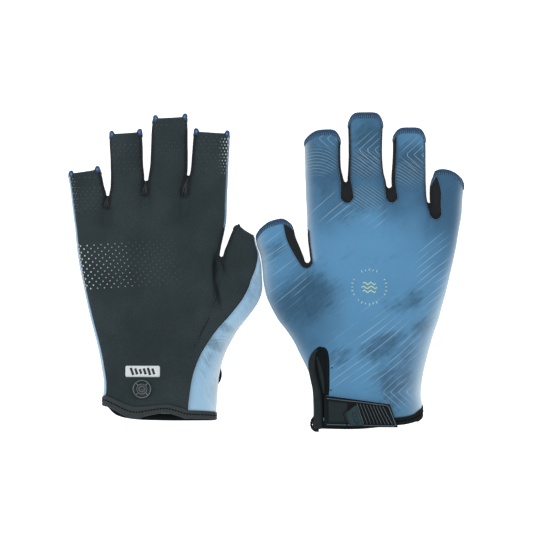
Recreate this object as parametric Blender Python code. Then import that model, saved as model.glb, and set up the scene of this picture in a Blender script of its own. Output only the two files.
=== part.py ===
"""Two half-finger sailing gloves lying flat side by side, +Y towards the finger ends and +Z up.

back_up_*  lies with the back of the hand up, its thumb towards -X.
palm_up_*  lies with the palm up, its thumb towards +X.

Both are drawn in one hand frame, in millimetres: thumb at low x, little finger at high x, fingers along +y.
The palm-up glove is the same hand turned over, so its x is mirrored and its palm is the upper face.
Every panel is cut from one skin, so that neighbours share a seam line and stop SEAM_GAP short of it.
"""

import math

import bpy
import numpy as np
from mathutils import Vector
from mathutils.bvhtree import BVHTree

# ---------------------------------------------------------------- driving dimensions, millimetres
CLOTH = 1.0  # thickness of every sewn panel
SEAM_GAP = 0.2  # each panel stops this far short of its seam line
EDGING_WIDTH = 3.3  # overlocked edging round the back of a finger end
EDGING_RISE = 0.3  # how far the edging stands proud of the panel
WRIST_TAPE_RISE = 0.35
DIGIT_ROUND = 2.15  # superellipse exponent of a finger
HAND_ROUND_UPPER = 2.5  # and of the hand, on the face that lies up
HAND_ROUND_LOWER = 3.4  # and on the face that lies on the table
FOURCHETTE_SEAM = 1.5  # how far a seam sits in from the side of a finger
SNAP_DIAMETER = 12.9
LABEL_SIZE = (22.7, 7.4)
LOOP_LIFT, HOOK_LIFT, STRAP_LIFT, PULL_LIFT, BADGE_LIFT = 0.25, 1.05, 1.8, 2.85, 4.1
PATCH_THICK, STRAP_THICK, PULL_THICK, BADGE_THICK = 0.5, 0.8, 1.0, 0.4
HEM_CLEARANCE = 0.75  # things that cross the wrist tape start this far off the skin

# mesh fineness: spans across a finger, across a side strip, across a web, and rows along each region
ACROSS, SIDE, WEB, FINGER_ROWS, KNUCKLE_ROWS, HAND_ROWS = 3, 3, 2, 4, 3, 6

# Height of the middle of the hand above the table, and its half thickness, from finger end to wrist
CENTRE_HEIGHT = ((105, 7.6), (60, 8.2), (35, 9.6), (0, 10.3), (-35, 10.6), (-60, 12.2), (-110, 12.3))
HALF_THICK = ((60, 7.4), (30, 9.6), (0, 11.0), (-35, 10.4), (-60, 7.4), (-110, 7.0))
DIGIT_HALF = ((105, 6.6), (60, 7.0), (-10, 7.6))

# Outlines are (x, y) from the finger end towards the wrist. "a" is a finger's thumb side, "b" its other side.
BACK_UP = {
    "name": "back_up",
    "back_is_upper": True,
    "edges": {
        "thumb_a": ((-5.6, 25.5), (-4.8, 19), (-2.5, 12.5), (-1.1, 3.7), (-0.6, -4), (0.4, -11), (2.4, -18.3),
                    (8.6, -30), (13.9, -36.8), (19.1, -44.2), (23.1, -52.1), (27.1, -60), (30.4, -68),
                    (31.8, -76), (32.3, -84), (32.4, -104)),
        "thumb_b": ((19.4, 31.9), (21.1, 23), (24.6, 15), (27.0, 8), (27.6, 0)),
        "index_a": ((26.4, 88.4), (27.1, 72), (27.6, 55), (28.4, 38), (29.0, 23), (30.4, 11), (31.6, -2)),
        "index_b": ((50.8, 88.4), (50.8, 70), (52.0, 62.7), (53.4, 58), (53.8, 46)),
        "middle_a": ((55.4, 102), (55.9, 80), (55.6, 66), (55.7, 60), (57.0, 46)),
        "middle_b": ((78.5, 102), (78.2, 80), (79.2, 66), (80.7, 60), (82.3, 46)),
        "ring_a": ((85.1, 91.3), (84.8, 75), (84.2, 63), (84.5, 57), (86.2, 46)),
        "ring_b": ((106.9, 91.3), (106.9, 70), (107.2, 55), (108.3, 46), (111.8, 35)),
        "little_a": ((110.2, 62.7), (109.3, 52), (109.7, 46), (111.6, 39), (113.2, 34)),
        "little_b": ((132.8, 59.1), (131.4, 51), (130.4, 39), (128.7, 27), (126.7, 15), (124.1, 3.3),
                     (121.4, -8.6), (118.1, -20.5), (114.8, -32.3), (110.9, -44.2), (107.6, -56.1),
                     (104.9, -68), (103.4, -80), (104.6, -88), (104.8, -104)),
    },
    "seams": {"thumb_b": ((32, 6.2), (15, 4.6), (2, 1.6)), "index_b": ((88, 1.6), (46, 2.1)),
              "middle_a": ((102, 1.5), (46, 1.7)), "middle_b": ((102, 1.0), (46, 1.2)),
              "ring_a": ((91, 2.2), (46, 2.6)), "ring_b": ((91, 0.8), (35, 0.9)),
              "little_a": ((62, 5.0), (51, 7.4), (38, 5.2))},
    "tips": {"thumb": (25.5, 31.9, 5.6), "index": (88.4, 88.4, 6.4), "middle": (102.0, 102.0, 4.3),
             "ring": (91.3, 91.3, 5.1), "little": (62.7, 59.1, 8.0)},
    # y of each web: foot of the slot on the upper face, on the lower face, and the tip of the web
    "webs": {"thumb": (3.0, 5.0, 5.4), "index": (46.7, 49.0, 61.0), "middle": (46.7, 50.0, 57.6),
             "ring": (34.8, 41.0, 46.4)},
    "row_ends": {"index_a": 48.0, "little_b": 32.0, "thumb_a": -8.0, "hand_b": -2.0},
    "thumb_share": (0.16, 0.05),
    "wrist_upper": ((0, -98.0), (0.4, -98.2), (0.75, -95.9), (0.9, -94.0), (1, -88.5)),
    "wrist_lower": ((0, -95.5), (0.35, -93), (0.8, -92.5), (1, -86.5)),
    "tape_width": (4.6, 4.6),
    "closure_shift": 0.0,
}
PALM_UP = {
    "name": "palm_up",
    "back_is_upper": False,
    "edges": {
        "thumb_a": ((6.6, 25.0), (5.2, 19), (4.0, 12.5), (2.7, 3.7), (2.0, -4.3), (1.6, -10), (2.5, -16.5),
                    (5.0, -21.5), (9.9, -28.4), (16.3, -36.3), (21.1, -44.2), (25.0, -52.1), (27.7, -60),
                    (29.6, -68), (30.5, -76), (31.0, -84), (31.8, -98)),
        "thumb_b": ((18.4, 32.5), (21.1, 27), (24.4, 19.1), (26.4, 14), (27.8, 6)),
        "index_a": ((23.0, 92.6), (22.5, 86.5), (23.8, 66.7), (24.4, 50.8), (24.7, 35), (26.4, 26),
                    (28.6, 15), (31.0, 2)),
        "index_b": ((45.9, 94.1), (46.9, 86.5), (48.2, 72), (49.0, 66), (50.6, 59), (51.7, 48)),
        "middle_a": ((50.9, 103.8), (50.6, 97), (50.2, 74), (50.6, 65), (52.4, 58), (54.2, 48)),
        "middle_b": ((72.8, 102.7), (73.9, 97), (75.0, 74), (76.3, 64), (77.3, 58), (77.6, 49)),
        "ring_a": ((80.8, 93.7), (80.5, 86.5), (79.8, 72), (78.9, 62), (79.3, 56), (80.2, 49)),
        "ring_b": ((101.7, 92.3), (102.2, 86.5), (101.3, 72), (101.2, 58), (102.3, 51), (103.4, 41)),
        "little_a": ((108.7, 69.1), (107.2, 64), (105.9, 58), (104.2, 52), (104.6, 47), (105.6, 41)),
        "little_b": ((128.5, 66.0), (129.2, 62.5), (128.4, 57), (126.7, 43), (124.7, 27), (122.8, 11.2),
                     (120.1, -4.6), (116.8, -20.5), (114.0, -32.3), (110.9, -44.2), (108.2, -56.1),
                     (106.3, -68), (105.8, -76), (106.5, -83), (106.6, -98)),
    },
    "seams": {},
    "tips": {"thumb": (25.0, 32.5, -1.0), "index": (92.6, 94.1, -1.4), "middle": (103.8, 102.7, -1.3),
             "ring": (93.7, 92.3, -1.3), "little": (69.1, 66.0, -1.0)},
    "webs": {"thumb": (9.5, 4.0, 11.7), "index": (49.2, 46.7, 65.0), "middle": (50.6, 46.7, 61.6),
             "ring": (41.8, 36.0, 51.3)},
    "row_ends": {"index_a": 50.0, "little_b": 38.0, "thumb_a": -9.0, "hand_b": 0.0},
    "thumb_share": (0.05, 0.16),
    "wrist_upper": ((0, -88.2), (0.25, -87.2), (0.5, -87.8), (0.72, -87.6), (0.85, -85.8), (1, -81.0)),
    "wrist_lower": ((0, -93.0), (0.35, -93.1), (0.62, -92.6), (0.86, -87.6), (1, -83.4)),
    "tape_width": (6.9, 4.6),
    "closure_shift": 5.2,  # the whole closure sits this much nearer the finger ends
}
# How far the back panel wraps on to the palm face along the thumb side, and along the little-finger side
THUMB_WRAP = ((30, 1.2), (10, 1.4), (-4, 4.3), (-20, 11.6), (-36, 13.6), (-50, 15.4), (-63, 16.9),
              (-86, 18.6))
LITTLE_WRAP = ((60, 1.0), (-60, 1.6), (-90, 1.8))
BACK_EDGE = ((90, 2.6), (-90, 3.2))  # where the back's own face grid hands over to its rolled side

# Closure on the back of the wrist: a keyhole slit by the thumb side, with a hook-and-loop strap across it
SLIT_LEFT = ((37.4, -49.0), (33.9, -53.5), (32.6, -59), (33.5, -66), (35.0, -74), (36.0, -82), (36.4, -95.4))
SLIT_RIGHT = ((38.0, -49.0), (40.6, -53.5), (41.8, -60), (41.9, -68), (41.0, -75), (39.9, -82), (39.6, -95.4))
STRAP_ROOT = 40.4
# Corners of the strap: root top, root foot, free end top, free end foot
STRAP_CORNERS = ((40.4, -80.6), (40.4, -101.2), (82.7, -86.4), (87.9, -101.6))
BADGE_LEFT = ((59.8, -86.9), (54.8, -92.2), (56.7, -99.6))
BADGE_RIGHT = ((70.2, -88.3), (68.2, -94), (66.2, -100.3))
ANCHOR_LEFT = ((34.2, -79.0), (34.0, -90), (34.1, -100.5))
ANCHOR_RIGHT = ((38.3, -79.0), (38.7, -90), (38.5, -100.5))
SNAP_CENTRE = (80.3, -76.4)
LABEL_CENTRE = (79.8, -64.8)
DIGITS = ("index", "middle", "ring", "little")


def along(points, y):
    """Value at y of a smooth line through (value, y) points given from high y to low y."""
    ys = [p[1] for p in points][::-1]
    xs = [p[0] for p in points][::-1]
    if y <= ys[0]:
        return xs[0]
    if y >= ys[-1]:
        return xs[-1]
    before = [max(i - 1, 0) for i in range(len(xs))]
    after = [min(i + 1, len(xs) - 1) for i in range(len(xs))]
    slopes = [(xs[j] - xs[i]) / (ys[j] - ys[i]) for i, j in zip(before, after)]
    i = max(k for k in range(len(ys) - 1) if ys[k] <= y)
    run = ys[i + 1] - ys[i]
    t = (y - ys[i]) / run
    return ((2 * t**3 - 3 * t**2 + 1) * xs[i] + (t**3 - 2 * t**2 + t) * run * slopes[i]
            + (3 * t**2 - 2 * t**3) * xs[i + 1] + (t**3 - t**2) * run * slopes[i + 1])


def ramp(points, at):
    """Straight-line value at a key, for (key, value) points in falling or rising order."""
    ordered = sorted(points)
    return float(np.interp(at, [p[0] for p in ordered], [p[1] for p in ordered]))


def ease(t):
    t = min(max(t, 0.0), 1.0)
    return t * t * (3 - 2 * t)


def power(value, exponent):
    return math.copysign(abs(value) ** exponent, value)


class Skin:
    """The outer surface of one glove as labelled four-sided faces."""

    def __init__(self, glove):
        self.glove = glove
        self.points, self.faces, self.labels = [], [], []
        self.upper, self.lower = ("back_panel", "palm_panel")[:: 1 if glove["back_is_upper"] else -1]
        self.tips, self.wrist = {}, []
        self.make()

    def put(self, x, y, z):
        self.points.append((x, y, max(z, 0.0)))
        return len(self.points) - 1

    def grid(self, rows, label, turn=False):
        """Faces of rows of point numbers. label is a name or a function of (row, column)."""
        for r in range(len(rows) - 1):
            for c in range(len(rows[r]) - 1):
                face = (rows[r][c], rows[r + 1][c], rows[r + 1][c + 1], rows[r][c + 1])
                self.faces.append(face[::-1] if turn else face)
                self.labels.append(label(r, c) if callable(label) else label)

    def inset(self, edge, upper, y):
        """How far in from the side of a finger or of the hand its seam lies."""
        back_face = upper == self.glove["back_is_upper"]
        if edge in ("thumb_a", "index_a", "little_b"):
            if back_face:
                return ramp(BACK_EDGE, y)
            return ramp(THUMB_WRAP if edge == "thumb_a" else LITTLE_WRAP, y)
        if back_face and edge in self.glove["seams"]:
            return ramp(self.glove["seams"][edge], y)
        return FOURCHETTE_SEAM

    def digit(self, name, foot_a, foot_b):
        """A finger. foot_a and foot_b give its last y on each side as (upper, lower, side)."""
        edge_a, edge_b = (self.glove["edges"][name + end] for end in ("_a", "_b"))
        tip_a, tip_b, crown = self.glove["tips"][name]

        def section(y, kind, t):
            """A point of the section: kind is upper, lower, a or b, t runs a to b or upper to lower."""
            left, right = along(edge_a, y), along(edge_b, y)
            half, middle = (right - left) / 2, (right + left) / 2
            def angle(edge, up):
                share = max(1 - self.inset(name + edge, up, y) / half, 0.05)
                return math.acos(share ** (DIGIT_ROUND / 2))
            if kind == "upper":
                turn = (1 - t) * (math.pi - angle("_a", True)) + t * angle("_b", True)
            elif kind == "lower":
                turn = (1 - t) * (math.pi + angle("_a", False)) + t * (2 * math.pi - angle("_b", False))
            elif kind == "b":
                turn = (1 - t) * angle("_b", True) - t * angle("_b", False)
            else:
                turn = math.pi - (1 - t) * angle("_a", True) + t * angle("_a", False)
            height = ramp(DIGIT_HALF, y)
            return (middle + half * power(math.cos(turn), 2 / DIGIT_ROUND), y,
                    ramp(CENTRE_HEIGHT, y) + height * power(math.sin(turn), 2 / DIGIT_ROUND))

        def end(kind, t):
            """Where the panel stops at the finger end, and how far the edging carries on past it."""
            back_up = self.glove["back_is_upper"]
            if kind in ("upper", "lower"):
                back = (kind == "upper") == back_up
                s = 2 * t - 1
                bulge = 0.0
                if kind == "upper" or crown < 0:
                    bulge = crown * (1 - abs(s) ** (3.6 if crown > 0 else 2))
                return tip_a + (tip_b - tip_a) * t + bulge, EDGING_WIDTH if back else 0.0
            palm_seam = t == (1 if back_up else 0)
            return (tip_a if kind == "a" else tip_b), 0.0 if palm_seam else EDGING_WIDTH

        def foot(kind, t):
            if kind in ("upper", "lower"):
                i = 0 if kind == "upper" else 1
                return foot_a[i] + (foot_b[i] - foot_a[i]) * t
            this = foot_a if kind == "a" else foot_b
            level = this[0] + (this[1] - this[0]) * t
            return level if this[2] is None else level + (this[2] - level) * math.sin(math.pi * t) ** 0.8

        made = {}
        for kind, spans in (("upper", ACROSS), ("lower", ACROSS), ("a", SIDE), ("b", SIDE)):
            rows = []
            for r in range(FINGER_ROWS + 1):
                row = []
                for c in range(spans + 1):
                    if kind == "a" and c in (0, spans):
                        row.append(made["upper" if c == 0 else "lower"][r][0])
                    elif kind == "b" and c in (0, spans):
                        row.append(made["upper" if c == 0 else "lower"][r][-1])
                    else:
                        t = c / spans
                        full, edging = end(kind, t)
                        if kind in ("upper", "lower") and c in (0, spans) and edging == 0.0:
                            full = tip_a if c == 0 else tip_b
                        top = full - (edging + 0.15 if edging else 0.0)
                        y = top + (foot(kind, t) - top) * r / FINGER_ROWS
                        row.append(self.put(*section(y, kind, t)))
                rows.append(row)
            made[kind] = rows
        self.tips[name] = made
        return made

    def block(self, head, rows_count, edge_a, upto, shares, fade, labels, side_a_label):
        """A region of hand below a row of fingers. head holds its first row, as lists of point numbers."""
        edges = self.glove["edges"]
        line_a, line_b = edges[edge_a], edges["little_b"]
        bands = {kind: [list(head[kind])] for kind in ("upper", "lower", "a", "b")}
        start = {i: self.points[i] for kind in bands for i in bands[kind][0]}

        def lift(i):
            return start[i][2] - ramp(CENTRE_HEIGHT, start[i][1])

        def hand(x, y, upper):
            left, right = along(line_a, y), along(line_b, y)
            s = min(abs((2 * x - left - right) / (right - left)), 1.0)
            p = HAND_ROUND_UPPER if upper else HAND_ROUND_LOWER
            return ramp(HALF_THICK, y) * (1 - s**p) ** (1 / p) * (1 if upper else -1)

        for r in range(1, rows_count + 1):
            v = r / rows_count
            mix = ease(v / fade)
            for kind in ("upper", "lower"):
                up = kind == "upper"
                first = [start[i] for i in head[kind]]
                x0, x1 = first[0][0], first[-1][0]
                split = (first[shares[2]][0] - x0) / (x1 - x0) if shares else 0
                share = split + (shares[0 if up else 1] - split) * ease(v / 0.45) if shares else 0
                row = []
                last = len(first) - 1
                for c, point in enumerate(first):
                    f = (point[0] - x0) / (x1 - x0)
                    if shares:
                        over = share + (f - split) * (1 - share) / (1 - split)
                        f = f * share / split if f <= split else over
                    y = point[1] + (upto(kind, f) - point[1]) * v
                    ya = first[0][1] + (upto(kind, 0.0) - first[0][1]) * v
                    yb = first[last][1] + (upto(kind, 1.0) - first[last][1]) * v
                    xa = along(line_a, ya) + self.inset(edge_a, up, ya)
                    xb = along(line_b, yb) - self.inset("little_b", up, yb)
                    x = xa + f * (xb - xa)
                    z = ramp(CENTRE_HEIGHT, y) + (1 - mix) * lift(head[kind][c]) + mix * hand(x, y, up)
                    row.append(self.put(x, y, z))
                bands[kind].append(row)
            for kind, line, edge, at in (("a", line_a, edge_a, 0), ("b", line_b, "little_b", -1)):
                row = [bands["upper"][r][at]]
                for j in range(1, SIDE):
                    t = j / SIDE
                    point = start[head[kind][j]]
                    y = point[1] + (upto(kind, t) - point[1]) * v
                    half = (along(line_b, y) - along(line_a, y)) / 2
                    turns = []
                    for up, p in ((True, HAND_ROUND_UPPER), (False, HAND_ROUND_LOWER)):
                        turns.append(math.acos(max(1 - self.inset(edge, up, y) / half, 0.05) ** (p / 2)))
                    turn = (1 - t) * turns[0] - t * turns[1]
                    p = HAND_ROUND_UPPER if turn > 0 else HAND_ROUND_LOWER
                    inward = half * (1 - abs(math.cos(turn)) ** (2 / p))
                    was = abs(point[0] - along(line, point[1]))
                    inward = (1 - mix) * was + mix * inward
                    high = ramp(HALF_THICK, y) * power(math.sin(turn), 2 / p)
                    z = ramp(CENTRE_HEIGHT, y) + (1 - mix) * lift(head[kind][j]) + mix * high
                    row.append(self.put(along(line, y) + (inward if kind == "a" else -inward), y, z))
                row.append(bands["lower"][r][at])
                bands[kind].append(row)
        self.grid(bands["upper"], labels["upper"])
        self.grid(bands["lower"], labels["lower"], turn=True)
        self.grid(bands["a"], side_a_label, turn=True)
        self.grid(bands["b"], "back_panel")
        return {kind: bands[kind][-1] for kind in bands}

    def web(self, left, right, label):
        """The strip across the foot of a slot, between two side rows, upper to lower. Returns its edges."""
        columns = [left]
        for c in range(1, WEB):
            t = c / WEB
            column = []
            for k, (i, j) in enumerate(zip(left, right)):
                p, q = np.array(self.points[i]), np.array(self.points[j])
                mid = p + (q - p) * t
                mid[1] -= 0.22 * abs(q[0] - p[0])
                column.append(self.put(*mid))
            columns.append(column)
        columns.append(right)
        self.grid([list(row) for row in zip(*columns)], label, turn=True)
        return [column[0] for column in columns], [column[-1] for column in columns]

    def make(self):
        glove = self.glove
        webs, ends = glove["webs"], glove["row_ends"]
        feet = {"index": ((ends["index_a"],) * 2 + (None,), webs["index"]),
                "middle": (webs["index"], webs["middle"]),
                "ring": (webs["middle"], webs["ring"]),
                "little": (webs["ring"], (ends["little_b"],) * 2 + (None,)),
                "thumb": ((ends["thumb_a"],) * 2 + (None,), webs["thumb"])}
        made = {name: self.digit(name, *feet[name]) for name in DIGITS + ("thumb",)}
        for name, rows in made.items():
            palm = "thumb_panel" if name == "thumb" else "palm_panel"
            self.grid(rows["upper"], palm if self.upper == "palm_panel" else "back_panel")
            self.grid(rows["lower"], palm if self.lower == "palm_panel" else "back_panel", turn=True)
        self.grid(made["thumb"]["a"], "back_panel", turn=True)
        self.grid(made["index"]["a"], "back_panel", turn=True)
        self.grid(made["little"]["b"], "back_panel")
        head = {"upper": [], "lower": [], "a": made["index"]["a"][-1], "b": made["little"]["b"][-1]}
        for i, name in enumerate(DIGITS):
            head["upper"] += made[name]["upper"][-1]
            head["lower"] += made[name]["lower"][-1]
            if name != "little":
                label = "fourchette_%s_%s" % (name, DIGITS[i + 1])
                self.grid(made[name]["b"], label)
                self.grid(made[DIGITS[i + 1]]["a"], label, turn=True)
                over, under = self.web(made[name]["b"][-1], made[DIGITS[i + 1]]["a"][-1], label)
                head["upper"] += over[1:-1]
                head["lower"] += under[1:-1]
        crotch = webs["thumb"]

        def to_crotch(kind, t):
            if kind == "a":
                level = crotch[0] + (crotch[1] - crotch[0]) * t
                return level + (crotch[2] - level) * math.sin(math.pi * t) ** 0.8
            if kind == "b":
                return ends["hand_b"]
            return crotch[0 if kind == "upper" else 1] * (1 - t) + ends["hand_b"] * t

        low = self.block(head, KNUCKLE_ROWS, "index_a", to_crotch, None, 0.75,
                         {"upper": self.upper, "lower": self.lower},
                         lambda r, c: "thumb_gusset" if r >= KNUCKLE_ROWS * 0.45 else "back_panel")
        self.grid(made["thumb"]["b"], "thumb_gusset")
        over, under = self.web(made["thumb"]["b"][-1], low["a"], "thumb_gusset")
        head = {"upper": made["thumb"]["upper"][-1] + over[1:-1] + low["upper"],
                "lower": made["thumb"]["lower"][-1] + under[1:-1] + low["lower"],
                "a": made["thumb"]["a"][-1], "b": low["b"]}
        split = ACROSS + WEB

        def to_wrist(kind, t):
            if kind == "upper" or kind == "lower":
                return ramp(glove["wrist_" + kind], t)
            at = 0 if kind == "a" else 1
            return ramp(glove["wrist_upper"], at) * (1 - t) + ramp(glove["wrist_lower"], at) * t

        def label_of(kind):
            plain = self.upper if kind == "upper" else self.lower
            reach = int(HAND_ROWS * 0.33)
            if plain == "back_panel":
                return plain
            return lambda r, c: "thumb_panel" if c < split and r < reach else plain

        last = self.block(head, HAND_ROWS, "thumb_a", to_wrist, glove["thumb_share"] + (split,), 0.45,
                          {"upper": label_of("upper"), "lower": label_of("lower")}, "back_panel")
        self.wrist = last["upper"] + last["b"][1:-1] + last["lower"][::-1] + last["a"][1:-1][::-1]
        self.wrist_spans = (len(last["upper"]), SIDE)
        if not glove["back_is_upper"]:
            self.points = [(-x, y, z) for x, y, z in self.points]
            self.faces = [face[::-1] for face in self.faces]
        self.points = np.array(self.points)
        self.normals = self.vertex_normals()
        self.tree = self.ray_tree()

    def vertex_normals(self):
        total = np.zeros_like(self.points)
        for face in self.faces:
            a, b, c, d = (self.points[i] for i in face)
            normal = np.cross(c - a, d - b)
            for i in face:
                total[i] += normal
        return total / np.maximum(np.linalg.norm(total, axis=1, keepdims=True), 1e-9)

    def ray_tree(self):
        """The skin with the wrist carried on past its hem, for laying things on it."""
        points = [Vector(p) for p in self.points]
        faces = list(self.faces)
        base = len(points)
        points += [Vector(self.points[i]) + Vector((0, -16, 0)) for i in self.wrist]
        count = len(self.wrist)
        for i in range(count):
            j = (i + 1) % count
            faces.append((self.wrist[i], self.wrist[j], base + j, base + i))
        return BVHTree.FromPolygons(points, faces)

    def on(self, x, y, upper, lift):
        """The point lift above the skin at hand position x, y, on the upper or lower face."""
        world_x = x if self.glove["back_is_upper"] else -x
        way = -1 if upper else 1
        hit, normal, _, _ = self.tree.ray_cast(Vector((world_x, y, -200.0 * way)), Vector((0, 0, way)))
        normal = Vector(normal)
        if normal.z * way > 0:
            normal.negate()
        return np.array(hit + normal * lift)


def add_solid(name, points, faces):
    mesh = bpy.data.meshes.new(name)
    mesh.from_pydata([tuple(p) for p in np.asarray(points) * 0.001], [], faces)
    mesh.validate()
    obj = bpy.data.objects.new(name, mesh)
    bpy.context.scene.collection.objects.link(obj)
    return obj


def outward(points, faces):
    """Faces turned so that the solid's volume is positive."""
    points = np.asarray(points)
    volume = 0.0
    for face in faces:
        for i in range(1, len(face) - 1):
            volume += np.dot(points[face[0]], np.cross(points[face[i]], points[face[i + 1]]))
    return faces if volume > 0 else [tuple(face[::-1]) for face in faces]


def panel(skin, label):
    """One sewn panel: its part of the skin, an inner copy CLOTH below, and the cut edges between."""
    faces = [face for face, name in zip(skin.faces, skin.labels) if name == label]
    count = {}
    for face in faces:
        for i in range(4):
            a, b = face[i], face[(i + 1) % 4]
            count.setdefault((min(a, b), max(a, b)), []).append((a, b, face))
    rim = [uses[0] for uses in count.values() if len(uses) == 1]
    pull = {}
    for a, b, face in rim:
        edge = skin.points[b] - skin.points[a]
        edge = edge / max(np.linalg.norm(edge), 1e-9)
        inward = skin.points[list(face)].mean(axis=0) - (skin.points[a] + skin.points[b]) / 2
        inward = inward - edge * np.dot(edge, inward)
        inward = inward / max(np.linalg.norm(inward), 1e-9)
        pull.setdefault(a, []).append(inward)
        pull.setdefault(b, []).append(inward)
    used = sorted({i for face in faces for i in face})
    number = {i: n for n, i in enumerate(used)}
    outer = skin.points[used].copy()
    for i, ways in pull.items():
        mean = np.sum(ways, axis=0)
        mean = mean / max(np.linalg.norm(mean), 1e-9)
        outer[number[i]] += mean * SEAM_GAP / max(min(np.dot(mean, way) for way in ways), 0.45)
    inner = outer - skin.normals[used] * CLOTH
    n = len(used)
    solid = [tuple(number[i] for i in face) for face in faces]
    solid += [tuple(number[i] + n for i in face[::-1]) for face in faces]
    solid += [(number[b], number[a], number[a] + n, number[b] + n) for a, b, _ in rim]
    points = np.vstack([outer, inner])
    return add_solid("%s_%s" % (skin.glove["name"], label), points, outward(points, solid))


def band(name, path, ways, normals, widths, outside, inside, closed):
    """A flat band that runs along path, carries on by widths in ways, and is outside + inside thick."""
    points = []
    for p, way, normal, width in zip(path, ways, normals, widths):
        for run, high in ((0.25, outside), (width, outside), (width, -inside), (0.25, -inside)):
            points.append(p + way * run + normal * high)
    count, ring = len(path), 4
    faces = []
    for i in range(count if closed else count - 1):
        j = (i + 1) % count
        for k in range(ring):
            m = (k + 1) % ring
            faces.append((i * ring + k, j * ring + k, j * ring + m, i * ring + m))
    if not closed:
        faces.append(tuple(range(ring)))
        faces.append(tuple((count - 1) * ring + k for k in range(ring))[::-1])
    return add_solid(name, points, outward(points, faces))


def finger_edging(skin, name):
    rows = skin.tips[name]
    back = "upper" if skin.glove["back_is_upper"] else "lower"
    stop = SIDE if back == "upper" else 0
    step = 1 if back == "upper" else -1
    a_side = [rows["a"][0:2][r][c] for c in range(SIDE + 1) for r in (0,) if c != stop and c != SIDE - stop]
    b_side = [rows["b"][0][c] for c in range(SIDE + 1) if c != stop and c != SIDE - stop]
    a_next = [rows["a"][1][c] for c in range(SIDE + 1) if c != stop and c != SIDE - stop]
    b_next = [rows["b"][1][c] for c in range(SIDE + 1) if c != stop and c != SIDE - stop]
    first = a_side[::-step] + rows[back][0] + b_side[::step]
    second = a_next[::-step] + rows[back][1] + b_next[::step]
    path = [skin.points[i] for i in first]
    ways = [skin.points[i] - skin.points[j] for i, j in zip(first, second)]
    ways = [way / np.linalg.norm(way) for way in ways]
    normals = [skin.normals[i] for i in first]
    widths = [EDGING_WIDTH] * len(first)
    band("%s_%s_edging" % (skin.glove["name"], name), path, ways, normals, widths, EDGING_RISE, CLOTH, False)


def wrist_tape(skin):
    upper_count, side = skin.wrist_spans
    wide, low = skin.glove["tape_width"]
    widths = []
    for n in range(len(skin.wrist)):
        if n < upper_count:
            widths.append(wide)
        elif n < upper_count + side - 1:
            widths.append(wide + (low - wide) * (n - upper_count + 1) / side)
        elif n < 2 * upper_count + side - 1:
            widths.append(low)
        else:
            widths.append(low + (wide - low) * (n - 2 * upper_count - side + 2) / side)
    path = [skin.points[i] for i in skin.wrist]
    normals = [skin.normals[i] * (1, 0, 1) for i in skin.wrist]
    normals = [n / np.linalg.norm(n) for n in normals]
    ways = [np.array((0.0, -1.0, 0.0))] * len(path)
    band(skin.glove["name"] + "_wrist_tape", path, ways, normals, widths, WRIST_TAPE_RISE, 1.2, True)


def plate(skin, name, left, right, upper, lift, thick, rows, columns, crown=0.0):
    """A plate laid on the skin between two edge lines, lift above it, thicker by crown in the middle."""
    def edge(line, t):
        lengths = np.cumsum([0] + [math.dist(line[i], line[i + 1]) for i in range(len(line) - 1)])
        at = t * lengths[-1]
        return tuple(float(np.interp(at, lengths, [p[k] for p in line])) for k in (0, 1))

    base, top = [], []
    for r in range(rows + 1):
        a, b = edge(left, r / rows), edge(right, r / rows)
        for c in range(columns + 1):
            t = c / columns
            x, y = a[0] + (b[0] - a[0]) * t, a[1] + (b[1] - a[1]) * t
            more = crown * (1 - (2 * t - 1) ** 2)
            base.append(skin.on(x, y, upper, lift))
            top.append(skin.on(x, y, upper, lift + thick + more))
    n, wide = len(base), columns + 1
    faces = []
    for r in range(rows):
        for c in range(columns):
            i = r * wide + c
            faces += [(i, i + 1, i + wide + 1, i + wide), (n + i, n + i + wide, n + i + wide + 1, n + i + 1)]
    rim = [c for c in range(wide)] + [r * wide + columns for r in range(1, rows + 1)]
    rim += [rows * wide + c for c in range(columns - 1, -1, -1)] + [r * wide for r in range(rows - 1, 0, -1)]
    for k, i in enumerate(rim):
        j = rim[(k + 1) % len(rim)]
        faces.append((j, i, n + i, n + j))
    points = np.array(base + top)
    return add_solid("%s_%s" % (skin.glove["name"], name), points, outward(points, faces))


def ribbon(skin, name, line, half_width, upper, lift, thick):
    """A narrow edging laid on the skin along a line of (x, y) points."""
    base = []
    for k, (x, y) in enumerate(line):
        before, after = line[max(k - 1, 0)], line[min(k + 1, len(line) - 1)]
        run = np.array((after[0] - before[0], after[1] - before[1]))
        side = np.array((-run[1], run[0])) / np.linalg.norm(run) * half_width
        shoulder = lift + thick * 0.7
        for way, high in ((-1, lift), (-1, shoulder), (0, lift + thick), (1, shoulder), (1, lift)):
            base.append(skin.on(x + way * side[0], y + way * side[1], upper, high))
    faces = []
    for k in range(len(line) - 1):
        for m in range(5):
            q = (m + 1) % 5
            faces.append((k * 5 + m, k * 5 + 5 + m, k * 5 + 5 + q, k * 5 + q))
    faces += [tuple(range(5)), tuple((len(line) - 1) * 5 + m for m in range(5))[::-1]]
    return add_solid("%s_%s" % (skin.glove["name"], name), base, outward(base, faces))


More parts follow.
